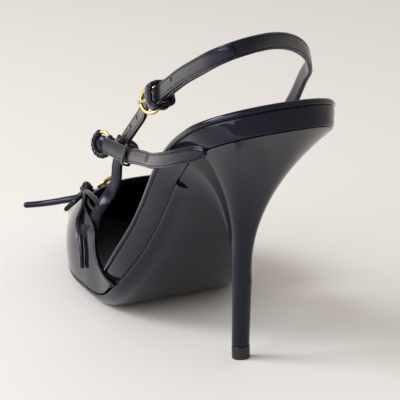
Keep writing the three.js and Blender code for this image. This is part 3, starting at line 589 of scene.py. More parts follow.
def skin(name, rings, loop=True, capped=True):
    """Lays a grid primitive over rings of points; rings close round, and both ends fill."""
    across = len(rings[0]) if loop else len(rings[0]) - 1
    along = len(rings) - 1
    bpy.ops.object.select_all(action="DESELECT")
    bpy.ops.mesh.primitive_grid_add(x_subdivisions=across, y_subdivisions=along, size=1)
    piece = bpy.context.object
    piece.name = piece.data.name = name
    for vertex in piece.data.vertices:
        i = round((vertex.co.x + 0.5) * across)
        j = round((vertex.co.y + 0.5) * along)
        vertex.co = rings[j][i % len(rings[0])] * MM
    bpy.ops.object.mode_set(mode="EDIT")
    bpy.ops.mesh.select_all(action="SELECT")
    bpy.ops.mesh.remove_doubles(threshold=0.002 * MM)
    if loop and capped:
        bpy.ops.mesh.fill_holes(sides=0)
        bpy.ops.mesh.select_all(action="SELECT")
    bpy.ops.mesh.normals_make_consistent(inside=False)
    bpy.ops.object.mode_set(mode="OBJECT")
    return piece


def apply_modifiers(piece):
    select_only(piece)
    for modifier in list(piece.modifiers):
        bpy.ops.object.modifier_apply(modifier=modifier.name)


def joined(name, pieces):
    select_only(*pieces)
    if len(pieces) > 1:
        bpy.ops.object.join()
    piece = bpy.context.object
    piece.name = piece.data.name = name
    return piece


def dressed(piece, finish, slot, *nodes, angle=35):
    """Finishes a piece: its material, its smooth shading and its body. The slot argument is not used."""
    select_only(piece)
    bpy.ops.object.shade_smooth_by_angle(angle=radians(angle))
    if not piece.data.materials:
        piece.data.materials.append(finish)
    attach(piece, "root")
    if nodes:
        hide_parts(*nodes)
    return piece


# Strap section: distance in from the edge in millimetres and rise as a share of half the thickness
Lip = namedtuple("Lip", "inward rise")
STRAP_LIP = [
    Lip(0.0, -0.25),
    Lip(0.0, 0.3),
    Lip(0.12, 0.72),
    Lip(0.4, 0.98),
    Lip(0.75, 1.0),
    Lip(0.92, 0.74),
    Lip(1.1, 1.0),
    Lip(1.5, 1.1),
]
STRAP_CROWN = 1.16
STRAP_BACK = [Lip(1.4, -1.0), Lip(0.3, -0.95), Lip(0.06, -0.7)]


def strap_ring(station, width, thickness, lip=STRAP_LIP):
    """One section of a strap with a rolled edge and a fine stitch channel near it."""
    half, up = width / 2, thickness / 2
    top = [(half - row.inward, row.rise) for row in lip]
    back = [(half - row.inward, row.rise) for row in STRAP_BACK]
    outline = (top + [(0, STRAP_CROWN)] + [(-w, n) for w, n in reversed(top)]
               + [(-w, n) for w, n in reversed(back)] + back)
    return [station.p + station.w * w + station.n * (n * up) for w, n in outline]


LACE_SIDES = 14
LACE_EDGE = 0.85


def lace_ring(station, width, thickness, edge=0.7):
    """One section of a soft lace or band, from round at 1 to flatter as the edge value falls."""
    ring = []
    for k in range(LACE_SIDES):
        turn = 2 * pi * k / LACE_SIDES
        across = copysign(abs(cos(turn)) ** edge, cos(turn)) * width / 2
        rise = copysign(abs(sin(turn)) ** (edge + 0.1), sin(turn)) * thickness / 2
        ring.append(station.p + station.w * across + station.n * rise)
    return ring


def distances(line):
    """How far along its line each station lies, in millimetres."""
    gone = [0.0]
    for a, b in zip(line, line[1:]):
        gone.append(gone[-1] + (b.p - a.p).length)
    return gone


def near_width(width):
    """Width of the outer instep strap: a wide tab at its head, a skived point at its end."""
    def at(t):
        tab = lerp(TAB_WIDTH, width, clamp((t - 0.15) * 4, 0, 1))
        return tab * lerp(1, 0.5, clamp((t - 0.9) * 10, 0, 1) ** 2)
    return at


def middle_rings(lines):
    """The middle strap, rounded at the billet's tip."""
    gone = distances(lines.middle)
    rings = []
    for station, reach in zip(lines.middle, gone):
        tip = round_end(gone[-1] - reach + 0.2, BILLET_TIP)
        width = lines.width * lerp(0.45, 1, tip)
        rings.append(strap_ring(station, width, lines.thickness))
    return rings


def tucked(line, reach, depth, lift):
    """Draws the end of a line in toward what it is sewn under."""
    gone = distances(line)
    drawn = []
    for station, at in zip(line, gone):
        t = clamp(1 - (gone[-1] - at) / reach, 0, 1)
        drawn.append(station._replace(p=station.p - station.n * (depth * t * t) + Vector((0, 0, lift * t))))
    return drawn


def rounded_ends(line, reach, ring):
    """Rings along a line whose two ends close in a short round."""
    length = sum((b.p - a.p).length for a, b in zip(line, line[1:]))
    rings, gone = [], 0.0
    for i, station in enumerate(line):
        gone += (station.p - line[max(i - 1, 0)].p).length
        open_share = round_end(min(gone, length - gone) + reach * 0.15, reach)
        rings.append(ring(station, max(open_share, 0.3)))
    return rings


def tube(name, centres, radius_at, axis_hint, sides=16):
    """Round bar along a line of points, its radius from a function of its share along."""
    count = len(centres) - 1
    rings = []
    for i, centre in enumerate(centres):
        along = (centres[min(i + 1, count)] - centres[max(i - 1, 0)]).normalized()
        out = (axis_hint - along * axis_hint.dot(along)).normalized()
        side = along.cross(out)
        radius = radius_at(i / count)
        rings.append([centre + (out * cos(2 * pi * k / sides) + side * sin(2 * pi * k / sides)) * radius
                      for k in range(sides)])
    return skin(name, rings)


# Materials

def linear(hex_colour):
    """Turns an sRGB hex colour such as "1B1B1E" to linear RGBA."""
    values = [int(hex_colour[i:i + 2], 16) / 255 for i in (0, 2, 4)]
    return (*(v / 12.92 if v <= 0.04045 else ((v + 0.055) / 1.055) ** 2.4 for v in values), 1.0)


def node(tree, kind, settings=None, **links):
    """Adds a node, sets its fields and values, and links its inputs by name."""
    made = tree.nodes.new(kind)
    for key, value in (settings or {}).items():
        if hasattr(made, key):
            setattr(made, key, value)
        else:
            made.inputs[key].default_value = value
    for key, source in links.items():
        wanted = key.replace("_", " ")
        socket = next(s for s in made.inputs if s.name.replace(".", " ") == wanted and s.enabled)
        tree.links.new(source, socket)
    return made


def new_material(name, **values):
    """A material with one Principled shader, its plain values set on the shader itself."""
    material = bpy.data.materials.new(name)
    material.use_nodes = True
    shader = material.node_tree.nodes["Principled BSDF"]
    for key, value in values.items():
        shader.inputs[key.replace("_", " ")].default_value = value
    return material, material.node_tree, shader


def noise_bump(tree, shader, coordinates, layers):
    """Adds bump layers, each a noise of a size in millimetres with a depth in millimetres."""
    below = None
    for size, depth, detail in layers:
        pattern = node(tree, "ShaderNodeTexNoise", {"Scale": 1 / (size * MM), "Detail": detail},
                       Vector=coordinates)
        settings = {"Strength": 1.0, "Distance": depth * MM}
        links = {"Height": pattern.outputs["Fac"]}
        if below:
            links["Normal"] = below.outputs["Normal"]
        below = node(tree, "ShaderNodeBump", settings, **links)
    tree.links.new(below.outputs["Normal"], shader.inputs["Normal"])
    return below


# Clear film of patent leather: how strongly it reflects, and a cool tint painted onto its reflections, which
# stands in for cooler light than the warm sky
FILM_IOR = 1.5
FILM_LEVEL = 0.42
PAINTED_COOL_REFLECTION_TINT = "C8C9EE"


def film_leather(name, colour, roughness, layers):
    """Leather under a clear film, with bump layers of size, depth and detail."""
    material, tree, shader = new_material(
        name, Base_Color=colour, Roughness=roughness, IOR=FILM_IOR,
        Specular_IOR_Level=FILM_LEVEL, Specular_Tint=linear(PAINTED_COOL_REFLECTION_TINT))
    place = node(tree, "ShaderNodeTexCoord").outputs["Object"]
    noise_bump(tree, shader, place, layers)
    return material


def patent_leather(name, colour, ripple, roughness, size=26):
    """Patent leather: calf under a clear polyurethane film, which gives a wet mirror gloss
    over near black, with the faint slow ripple of the hide under it."""
    return film_leather(name, colour, roughness, [(size, ripple, 1.0), (5, ripple * 0.1, 2.0)])


def insole_leather(colour):
    """Kidskin sock lining, vegetable dressed and unglazed: matt, with its pores
    drawn coarser than life and faint pressed lines across the foot."""
    material, tree, shader = new_material("kidskin_insole", Base_Color=colour, Roughness=0.5, IOR=1.45)
    place = node(tree, "ShaderNodeTexCoord").outputs["Object"]
    grain = node(tree, "ShaderNodeTexNoise", {"Scale": 1 / (1.2 * MM), "Detail": 4.0}, Vector=place)
    shade = node(tree, "ShaderNodeMapRange", {"To Min": 0.42, "To Max": 0.62},
                 Value=grain.outputs["Fac"])
    tree.links.new(shade.outputs["Result"], shader.inputs["Roughness"])
    lines = node(tree, "ShaderNodeTexWave",
                 {"wave_type": "BANDS", "bands_direction": "X", "Scale": 1 / (24 * MM), "Distortion": 1.2},
                 Vector=place)
    pressed = node(tree, "ShaderNodeBump", {"Strength": 0.5, "Distance": 0.12 * MM},
                   Height=lines.outputs["Fac"])
    pores = node(tree, "ShaderNodeBump", {"Strength": 1.0, "Distance": 0.05 * MM},
                 Height=grain.outputs["Fac"], Normal=pressed.outputs["Normal"])
    tree.links.new(pores.outputs["Normal"], shader.inputs["Normal"])
    return material


def creased_leather(colour):
    """The same patent leather where it folds tight: the film breaks into short creases."""
    return film_leather("creased_patent", colour, 0.12, [(3.2, 0.5, 2.0), (1.1, 0.12, 2.0)])


def tip_rubber(colour):
    """Moulded polyurethane top piece: satin, with a fine stipple."""
    material, tree, shader = new_material("moulded_top_piece", Base_Color=colour, Roughness=0.32, IOR=1.5)
    place = node(tree, "ShaderNodeTexCoord").outputs["Object"]
    noise_bump(tree, shader, place, [(1.0, 0.03, 3.0)])
    return material


def polished_brass(colour):
    """Polished brass with a pale gold plate: a clear mirror with hairline handling marks."""
    material, tree, shader = new_material("plated_brass", Base_Color=colour, Roughness=0.12, Metallic=1.0)
    place = node(tree, "ShaderNodeTexCoord").outputs["Object"]
    marks = node(tree, "ShaderNodeTexNoise", {"Scale": 1 / (0.9 * MM), "Detail": 5.0}, Vector=place)
    wear = node(tree, "ShaderNodeMapRange", {"To Min": 0.08, "To Max": 0.24},
                Value=marks.outputs["Fac"])
    tree.links.new(wear.outputs["Result"], shader.inputs["Roughness"])
    return material


def waxed_thread(colour):
    """Waxed polyester sewing thread: dark, with a soft broken sheen."""
    material, tree, shader = new_material("waxed_thread", Base_Color=colour, Roughness=0.55, IOR=1.45)
    place = node(tree, "ShaderNodeTexCoord").outputs["Object"]
    noise_bump(tree, shader, place, [(0.5, 0.05, 1.0)])
    return material


FINISHES = {}


def make_finishes(colours):
    patent = (*colours.patent, 1.0)
    FINISHES["patent"] = patent_leather("patent_leather", patent, 0.05, 0.08)
    FINISHES["heel"] = patent_leather("patent_heel_cover", patent, 0.03, 0.14)
    FINISHES["strap"] = patent_leather("patent_strap", patent, 0.16, 0.2, size=9)
    FINISHES["creased"] = creased_leather(patent)
    FINISHES["insole"] = insole_leather((*colours.insole, 1.0))
    FINISHES["tip"] = tip_rubber((*colours.tip, 1.0))
    FINISHES["gold"] = polished_brass((*colours.gold, 1.0))
    FINISHES["thread"] = waxed_thread((*colours.thread, 1.0))


# Sole unit

Section = namedtuple("Section", "inset under share tucked")
# Footbed side from its lower edge up: inset, share of the band below the top, share of the side, tuck
FOOTBED_SIDE = [
    Section(COVER_STEP + 0.9, None, 0.0, 1.0),
    Section(COVER_STEP + 0.35, None, 0.015, 0.99),
    Section(COVER_STEP + 0.08, None, 0.05, 0.95),
    Section(COVER_STEP, None, 0.1, 0.88),
    Section(COVER_STEP, None, 0.25, 0.68),
    Section(COVER_STEP, None, 0.5, 0.42),
    Section(COVER_STEP, None, 0.75, 0.18),
    Section(COVER_STEP, None, 0.9, 0.06),
    Section(COVER_STEP + 0.03, None, 0.95, 0.02),
    Section(COVER_STEP + 0.2, None, 0.98, 0.0),
    Section(COVER_STEP + 0.75, 1.0, None, 0.0),
    Section(COVER_STEP + 0.7, 0.93, None, 0.0),
    Section(0.35, 0.86, None, 0.0),
    Section(0.06, 0.76, None, 0.0),
    Section(0.0, 0.6, None, 0.0),
    Section(0.02, 0.42, None, 0.0),
    Section(0.25, 0.18, None, 0.0),
    Section(0.75, 0.04, None, 0.0),
    Section(1.4, 0.0, None, 0.0),
    Section(2.1, 0.05, None, 0.0),
    Section(2.7, 0.2, None, 0.0),
    Section(COVER_STEP + RIM_WIDTH, RIM_DEPTH / COVER_BAND, None, 0.0),
]
FOOTBED_STEPS = 150


def footbed_rings():
    rings = []
    for share in crowded(FOOTBED_STEPS, 0.6):
        side, other = [], []
        for row in FOOTBED_SIDE:
            s = lerp(row.inset, LAST_LENGTH - row.inset - wall_room(LAST_LENGTH), share)
            half = max(half_width(s, row.inset) - wall_room(s) - tuck_at(s) * row.tucked, 0)
            thick = footbed_thickness(s)
            if row.share is None:
                height = thick - COVER_BAND * row.under
            else:
                height = (thick - COVER_BAND) * row.share
            side.append(on_last(s, swing_at(s) + half, GAP + height))
            other.append(on_last(s, swing_at(s) - half, GAP + height))
        rings.append(side + other[::-1])
    return rings


def insole_rings():
    """A thin sock, slightly crowned, that fills the recess inside the cover band."""
    edge = COVER_STEP + RIM_WIDTH + GAP * 0.5
    rings = []
    for share in crowded(90, 0.6):
        s = lerp(edge, LAST_LENGTH - edge - wall_room(LAST_LENGTH), share)
        half = max(half_width(s, edge) - wall_room(s), 0)
        floor_height = GAP * 2 + footbed_thickness(s) - RIM_DEPTH
        top = [(t, INSOLE_THICKNESS * (0.55 + 0.45 * round_end((1 - abs(t)) * half, 1.2)))
               for t in (1, 0.985, 0.96, 0.85, 0.5, 0, -0.5, -0.85, -0.96, -0.985, -1)]
        outline = [*top, (-1, 0), (0, 0), (1, 0)]
        rings.append([on_last(s, swing_at(s) + half * y, floor_height + n) for y, n in outline])
    return rings


Roll = namedtuple("Roll", "across depth")
OUTSOLE_ROLL = [
    Roll(0.965, 0.0),
    Roll(0.985, 0.03),
    Roll(0.998, 0.09),
    Roll(1.0, 0.16),
    Roll(0.99, 0.3),
    Roll(0.965, 0.48),
    Roll(0.92, 0.72),
    Roll(0.85, 0.9),
    Roll(0.74, 1.0),
    Roll(0.4, 1.0),
    Roll(0.1, 1.0),
]


def outsole_rings():
    start = HEEL_REACH + GAP
    rings = []
    for share in crowded(130, 0.6):
        s = lerp(start, LAST_LENGTH, share)
        half = max(half_width(s, 0) - tuck_at(s), 0)
        depth = FEATHER_HEIGHT * smooth(FOOTBED, "sole", s / LAST_LENGTH)
        side = [on_last(s, swing_at(s) + half * row.across, -depth * row.depth) for row in OUTSOLE_ROLL]
        other = [on_last(s, swing_at(s) - half * row.across, -depth * row.depth) for row in OUTSOLE_ROLL]
        rings.append(side + other[::-1])
    return rings


# Heel

HEEL_AROUND = 65
BREAST_STEPS = 12


def breast_of(around):
    return [around[-1].lerp(around[0], i / BREAST_STEPS) for i in range(1, BREAST_STEPS)]


def heel_section(half, centre, z):
    """A round-backed section with a flat front, from its outer front corner to the inner."""
    around = []
    for i in range(HEEL_AROUND):
        angle = lerp(-BREAST_CORNER, pi + BREAST_CORNER, i / (HEEL_AROUND - 1))
        around.append(Vector((centre - half * sin(angle), half * cos(angle), z)))
    return around + breast_of(around)


def seat_ring():
    inset = COVER_STEP + GAP
    around = []
    for i in range(HEEL_AROUND):
        t = i / (HEEL_AROUND - 1)
        s = lerp(inset, HEEL_REACH, abs(2 * t - 1) ** SEAT_ROUNDING)
        half = max(half_width(s, inset) - tuck_at(s), 0)
        around.append(on_last(s, copysign(half, 0.5 - t) if t != 0.5 else 0, 0))
    return around + breast_of(around)


def column_centre(z):
    return -COLUMN_LEAN * (z - TOP_PIECE_HEIGHT)


def heel_rings():
    top = seat_ring()
    foot = heel_section(COLUMN_WIDTH / 2, column_centre(COLUMN_HEIGHT), COLUMN_HEIGHT)
    rings = []
    for down in crowded(44, 0.0):
        ring = []
        for j, point in enumerate(top):
            t = abs(2 * j / (HEEL_AROUND - 1) - 1) if j < HEEL_AROUND else 1
            spread = (1 - down) ** lerp(BACK_POWER, BREAST_POWER, t ** 3)
            ring.append(Vector((lerp(foot[j].x, point.x, spread), lerp(foot[j].y, point.y, spread),
                                lerp(point.z, foot[j].z, down))))
        rings.append(ring)
    for down in crowded(12)[1:]:
        z = lerp(COLUMN_HEIGHT, TOP_PIECE_HEIGHT + GAP, down)
        width = lerp(COLUMN_WIDTH, TIP_WIDTH, down ** COLUMN_TAPER)
        rings.append(heel_section(width / 2, column_centre(z), z))
    return rings


# Upper

UPPER_AROUND = 120
# Distance from the throat's edge in millimetres and the binding's rise there, as a share of its step
BINDING = [
    Lip(0.0, 0.1),
    Lip(0.12, 0.6),
    Lip(0.4, 0.95),
    Lip(1.0, 1.15),
    Lip(1.8, 1.15),
    Lip(2.6, 1.0),
    Lip(2.9, 0.7),
    Lip(3.02, -0.1),
    Lip(3.15, -0.5),
    Lip(3.3, -0.5),
    Lip(3.5, 0.0),
]


def upper_rings():
    """Rows of the upper's outer face, from the throat's rolled binding to the toe."""
    edges = [(around, LAST_LENGTH * smooth(THROAT, "edge", around))
             for around in crowded(UPPER_AROUND, 0.3)]
    rings = [[on_upper(edge + row.inward, around, -BINDING_STEP * row.rise) for around, edge in edges]
             for row in BINDING]
    for share in crowded(64, 0.5)[1:]:
        rings.append([on_upper(lerp(edge + BINDING[-1].inward, LAST_LENGTH, share), around, 0)
                      for around, edge in edges])
    return rings


def folded_rings(line, width_at, thickness, wire):
    """A strap whose first end folds round a ring's wire and comes back along its inner side."""
    head = line[0]
    reach = wire / 2 + FOLD_SLACK + thickness / 2
    turn = []
    for t in crowded(14):
        angle = pi * t
        n = -head.n * cos(angle) - head.along * sin(angle)
        p = head.p - head.along * (sin(angle) * reach + FOLD_SLACK) + head.n * (-reach - cos(angle) * reach)
        turn.append(Station(p, n, head.along, head.w))
    under = []
    for station in reversed([s for s in line[1:] if (s.p - head.p).length < FOLD_RETURN]):
        t = min((station.p - head.p).length / FOLD_RETURN, 1)
        rise = -lerp(reach * 2, thickness + GAP, sin(t * pi / 2))
        under.append(Station(lifted(station, rise).p, -station.n, station.along, station.w))
    path = [*under, *turn, *line]
    first = len(path) - len(line)
    return [strap_ring(s, width_at(max(i - first, 0) / (len(line) - 1)), thickness)
            for i, s in enumerate(path)]


def ring_frame(line, tilt, thickness, wire, radius):
    """A ring held in the fold at a strap's head, leaning outward from the strap."""
    head = line[0]
    reach = wire / 2 + FOLD_SLACK + thickness / 2
    lean = radians(tilt)
    ahead = head.n * sin(lean) - head.along * cos(lean)
    axis = head.n * cos(lean) + head.along * sin(lean)
    return Frame(head.p - head.n * reach + ahead * radius, ahead, axis, head.w)


def ring_arc(name, frame_, radius, radius_at, start, end, steps, sides=20):
    """Round bar bent to a ring, or to part of one between two angles from its leading point."""
    centres = []
    for t in crowded(steps):
        angle = radians(lerp(start, end, t))
        out = frame_.ahead * cos(angle) + frame_.w * sin(angle)
        centres.append(frame_.centre + out * radius)
    return tube(name, centres, radius_at, frame_.axis, sides)


def whole_ring(name, frame_, radius, wire):
    """A closed ring of round wire, from a torus turned to its frame."""
    turn = Matrix((frame_.ahead, frame_.axis.cross(frame_.ahead), frame_.axis)).transposed()
    bpy.ops.object.select_all(action="DESELECT")
    bpy.ops.mesh.primitive_torus_add(
        major_segments=96, minor_segments=28, major_radius=radius * MM, minor_radius=wire / 2 * MM,
        location=frame_.centre * MM, rotation=turn.to_euler())
    ring = bpy.context.object
    ring.name = ring.data.name = name
    bpy.ops.object.transform_apply(location=True, rotation=True, scale=True)
    return ring


class Lines:
    """The strap lines of the shoe, worked out once from the sizes."""

    def __init__(self, sizes):
        self.width = sizes.strap_width / MM
        self.thickness = sizes.strap_thickness / MM
        self.wire = sizes.ring_wire / MM
        self.radius = (sizes.ring_diameter - sizes.ring_wire) / 2 / MM
        self.wall = sizes.wall / MM
        self.sling = anchored_stations(SLING, SLING_ANCHOR, 12, self.thickness)
        self.near = row_stations(INSTEP_NEAR, 12)
        self.far = anchored_stations(INSTEP_FAR, INSTEP_ANCHOR, 12, self.thickness)
        common = (self.thickness, self.wire, self.radius)
        self.sling_ring = ring_frame(self.sling, SLING_RING_TILT, *common)
        self.near_ring = ring_frame(self.near, INSTEP_RING_TILT, *common)
        self.middle = self.middle_line()

    def middle_line(self):
        root, outward = [], []
        for row in MIDDLE_ROOT:
            s = row.at * LAST_LENGTH
            root.append(on_upper(s, row.around, self.wall / 2 if not root else -self.thickness * 0.2))
            outward.append((on_upper(s, row.around, -1) - on_upper(s, row.around, 1)).normalized())
        rise = self.thickness + GAP
        ring = self.sling_ring
        dip = (ring.centre + ring.ahead * self.radius
               - ring.axis * (self.wire / 2 + GAP * 2 + self.thickness))
        start = lifted(self.sling[0], rise)
        points = [*root, *[over(row) for row in MIDDLE], dip, start.p]
        normals = [*outward, *[facing(row.faces, row.tilt) for row in MIDDLE],
                   self.sling[0].n, start.n]
        low = stations(points, normals, 12)
        return [*low, *[lifted(s, rise) for s in self.sling[2:BILLET_REACH]]]


def station_at(line, reach):
    """First station of a line at least so far from its head."""
    return next(s for s in line if (s.p - line[0].p).length >= reach)


def band_loop(name, line, keeper, half_across, half_stack):
    """A leather keeper closed round a stack of straps, clear of them on every side."""
    station = station_at(line, keeper.at)
    half = half_across + GAP + keeper.thickness / 2
    high = half_stack + GAP + keeper.thickness / 2
    rings = []
    steps = 48
    for k in range(steps):
        turn = 2 * pi * k / steps
        w = copysign(abs(cos(turn)) ** keeper.corner, cos(turn)) * half
        n = copysign(abs(sin(turn)) ** keeper.corner, sin(turn)) * high
        out = (station.w * cos(turn) + station.n * sin(turn)).normalized()
        p = station.p + station.w * w + station.n * n
        if keeper.crumple:
            p += out * (keeper.crumple * (0.4 + noise.noise(p * 0.55)))
        stretch = 1 + (0.18 * sin(turn * 3 + 0.7) if keeper.crumple else 0)
        rings.append(lace_ring(Station(p, out, None, station.along), keeper.width * stretch,
                               keeper.thickness))
    rings.append(rings[0])
    return skin(name, rings, capped=False)


STITCH_LENGTH = 1.15
STITCH_PITCH = 1.75
STITCH_WIDTH = 0.3


def stitch_row(name, line, across, rise, start=0.0, end=0.0):
    """A row of short raised stitches that follows a line at a distance across it."""
    places, gone = [], 0.0
    path = [s.p + s.w * across + s.n * rise for s in line]
    length = sum((b - a).length for a, b in zip(path, path[1:]))
    wanted = start
    for i, station in enumerate(line[:-1]):
        step = (path[i + 1] - path[i]).length
        while wanted <= gone + step and wanted < length - end:
            t = (wanted - gone) / step if step else 0
            places.append((path[i].lerp(path[i + 1], t), station))
            wanted += STITCH_PITCH
        gone += step
    points, faces = [], []
    for place, station in places:
        first = len(points)
        for along, radius in ((-0.5, 0.35), (-0.3, 1.0), (0.3, 1.0), (0.5, 0.35)):
            for k in range(6):
                turn = 2 * pi * k / 6
                side = station.w * cos(turn) + station.n * sin(turn)
                offset = station.along * (along * STITCH_LENGTH) + side * (radius * STITCH_WIDTH / 2)
                points.append((place + offset) * MM)
        for ring in range(3):
            for k in range(6):
                a, b = first + ring * 6 + k, first + ring * 6 + (k + 1) % 6
                faces.append((a, b, b + 6, a + 6))
        faces.append(tuple(first + k for k in reversed(range(6))))
        faces.append(tuple(first + 18 + k for k in range(6)))
    mesh = bpy.data.meshes.new(name)
    mesh.from_pydata(points, [], faces)
    piece = bpy.data.objects.new(name, mesh)
    bpy.context.scene.collection.objects.link(piece)
    return piece


def punched_hole(name, station, rise):
    """A punched hole: a flattened near-black disc on the strap's face, painted shade for the hole's depth,
    with the ring that the punch presses round it.
    """
    turn = Matrix((station.along, station.n.cross(station.along), station.n)).transposed()
    bpy.ops.object.select_all(action="DESELECT")
    bpy.ops.mesh.primitive_torus_add(
        major_segments=28, minor_segments=10, major_radius=HOLE_DIAMETER / 2 * MM,
        minor_radius=HOLE_RIM / 2 * MM,
        location=(station.p + station.n * rise) * MM, rotation=turn.to_euler())
    rim = bpy.context.object
    # Painted shade: a flat dark disc stands in for the shaded inside of the hole, and no opening is cut
    bpy.ops.mesh.primitive_uv_sphere_add(
        segments=20, ring_count=10, radius=HOLE_DIAMETER / 2 * MM,
        location=(station.p + station.n * rise) * MM, rotation=turn.to_euler())
    hole_shade_disc = bpy.context.object
    hole_shade_disc.scale = (0.95, 0.95, 0.12)
    select_only(rim, hole_shade_disc)
    bpy.ops.object.transform_apply(location=True, rotation=True, scale=True)
    return joined(name, [rim, hole_shade_disc])


# Settings

def length_property(name, description, default):
    return FloatProperty(name=name, description=description, default=default, unit="LENGTH")


class ShoeSizes(PropertyGroup):
    """Sizes that a maker would change"""
    wall: length_property("Upper wall", "Thickness of the upper with its lining", 0.0018)
    strap_width: length_property("Strap width", "Width of the straps", 0.006)
    strap_thickness: length_property("Strap thickness", "Thickness of the folded straps", 0.0016)
    lace_width: length_property("Lace width", "Width of the bow's lace", 0.0025)
    lace_thickness: length_property("Lace thickness", "Thickness of the bow's lace", 0.0019)
    ring_diameter: length_property("Ring diameter", "Outer diameter of the strap rings", 0.0112)
    ring_wire: length_property("Ring wire", "Diameter of the strap rings' wire", 0.0014)


def colour_property(name, description, hex_colour):
    return FloatVectorProperty(name=name, description=description, subtype="COLOR", size=3,
                               default=linear(hex_colour)[:3], min=0.0, max=1.0)


class ShoeColours(PropertyGroup):
    """Colours of the shoe's finishes and the studio's floor"""
    patent: colour_property("Patent leather", "Colour under the clear film", "14141C")
    insole: colour_property("Insole", "Kidskin sock lining", "6A6870")
    tip: colour_property("Top piece", "Rubber under the heel", "121214")
    gold: colour_property("Rings", "Plate on the brass rings", "EBCB86")
    # The thread colour also paints the shade inside the billet's holes
    thread: colour_property("Thread", "Sewing thread", "09090B")
    floor: colour_property("Floor", "Seamless paper", "EDEAE7")


# Operators

class ShoeOperator:
    """Shared settings of the shoe's operators"""
    bl_options = {"REGISTER", "UNDO"}

    def finished(self):
        return {"FINISHED"}


class SHOE_OT_sole_unit(ShoeOperator, Operator):
    """Builds the wrapped footbed, the insole and the outsole"""
    bl_idname = "shoe.sole_unit"
    bl_label = "Sole Unit"

    def execute(self, context):
        footbed = skin("wrapped_footbed", footbed_rings())
        dressed(footbed, FINISHES["patent"], "patent_leather", "footbed", angle=40)
        insole = skin("insole_sock", insole_rings())
        dressed(insole, FINISHES["insole"], "insole_leather", "insole", angle=50)
        outsole = skin("patent_outsole", outsole_rings())
        dressed(outsole, FINISHES["heel"], "patent_heel_cover", "outsole", angle=40)
        return self.finished()


class SHOE_OT_heel(ShoeOperator, Operator):
    """Builds the covered heel and finishes its top piece"""
    bl_idname = "shoe.heel"
    bl_label = "Heel"

    def execute(self, context):
        heel = skin("covered_heel", heel_rings())
        dressed(heel, FINISHES["heel"], "patent_heel_cover", "heel", angle=40)
        rings = [heel_section(TIP_WIDTH / 2 + TIP_OVERHANG, 0, z) for z in (0, TOP_PIECE_HEIGHT)]
        tip = skin("top_piece_rubber", rings)
        bevel = tip.modifiers.new("Edge", "BEVEL")
        bevel.width = 0.25 * MM
        bevel.segments = 2
        bevel.limit_method = "ANGLE"
        apply_modifiers(tip)
        dressed(tip, FINISHES["tip"], "tip_rubber", "top_piece", angle=40)
        return self.finished()


class SHOE_OT_vamp(ShoeOperator, Operator):
    """Builds the upper with its binding, its lining and the middle strap"""
    bl_idname = "shoe.vamp"
    bl_label = "Upper"

    def execute(self, context):
        lines = Lines(context.scene.shoe_sizes)
        vamp = skin("vamp_shell", upper_rings(), loop=False)
        wall = vamp.modifiers.new("Wall", "SOLIDIFY")
        wall.thickness = context.scene.shoe_sizes.wall
        wall.offset = -1
        apply_modifiers(vamp)
        dressed(vamp, FINISHES["patent"], "patent_leather", "vamp", angle=50)
        strap = skin("middle_strap", middle_rings(lines))
        dressed(strap, FINISHES["strap"], "patent_leather", "vamp", angle=50)
        return self.finished()


class SHOE_OT_straps(ShoeOperator, Operator):
    """Builds the sling, both halves of the instep strap and their keepers"""
    bl_idname = "shoe.straps"
    bl_label = "Straps"

    def execute(self, context):
        lines = Lines(context.scene.shoe_sizes)
        width, thickness = lines.width, lines.thickness
        sling = skin("sling", folded_rings(lines.sling, lambda t: width, thickness, lines.wire))
        dressed(sling, FINISHES["strap"], "patent_leather", "sling_strap", angle=50)
        near = skin("instep_outer", folded_rings(
            tucked(lines.near, NEAR_TUCK_REACH, NEAR_TUCK_DEPTH, NEAR_TUCK_LIFT),
            near_width(width), thickness, lines.wire))
        dressed(near, FINISHES["strap"], "patent_leather", "instep_strap_outer", angle=50)
        far = skin("instep_inner", [strap_ring(s, width, thickness) for s in lines.far])
        dressed(far, FINISHES["strap"], "patent_leather", "instep_strap_inner", angle=50)
        stack = thickness * 1.5 + GAP
        keeper = band_loop("sling_keeper_band", lines.sling, SLING_KEEPER, width / 2, stack)
        dressed(keeper, FINISHES["creased"], "patent_leather", "sling_keeper", angle=80)
        small = band_loop("instep_keeper_band", lines.near, INSTEP_KEEPER, TAB_WIDTH / 2, thickness / 2)
        dressed(small, FINISHES["strap"], "patent_leather", "instep_keeper", angle=80)
        return self.finished()


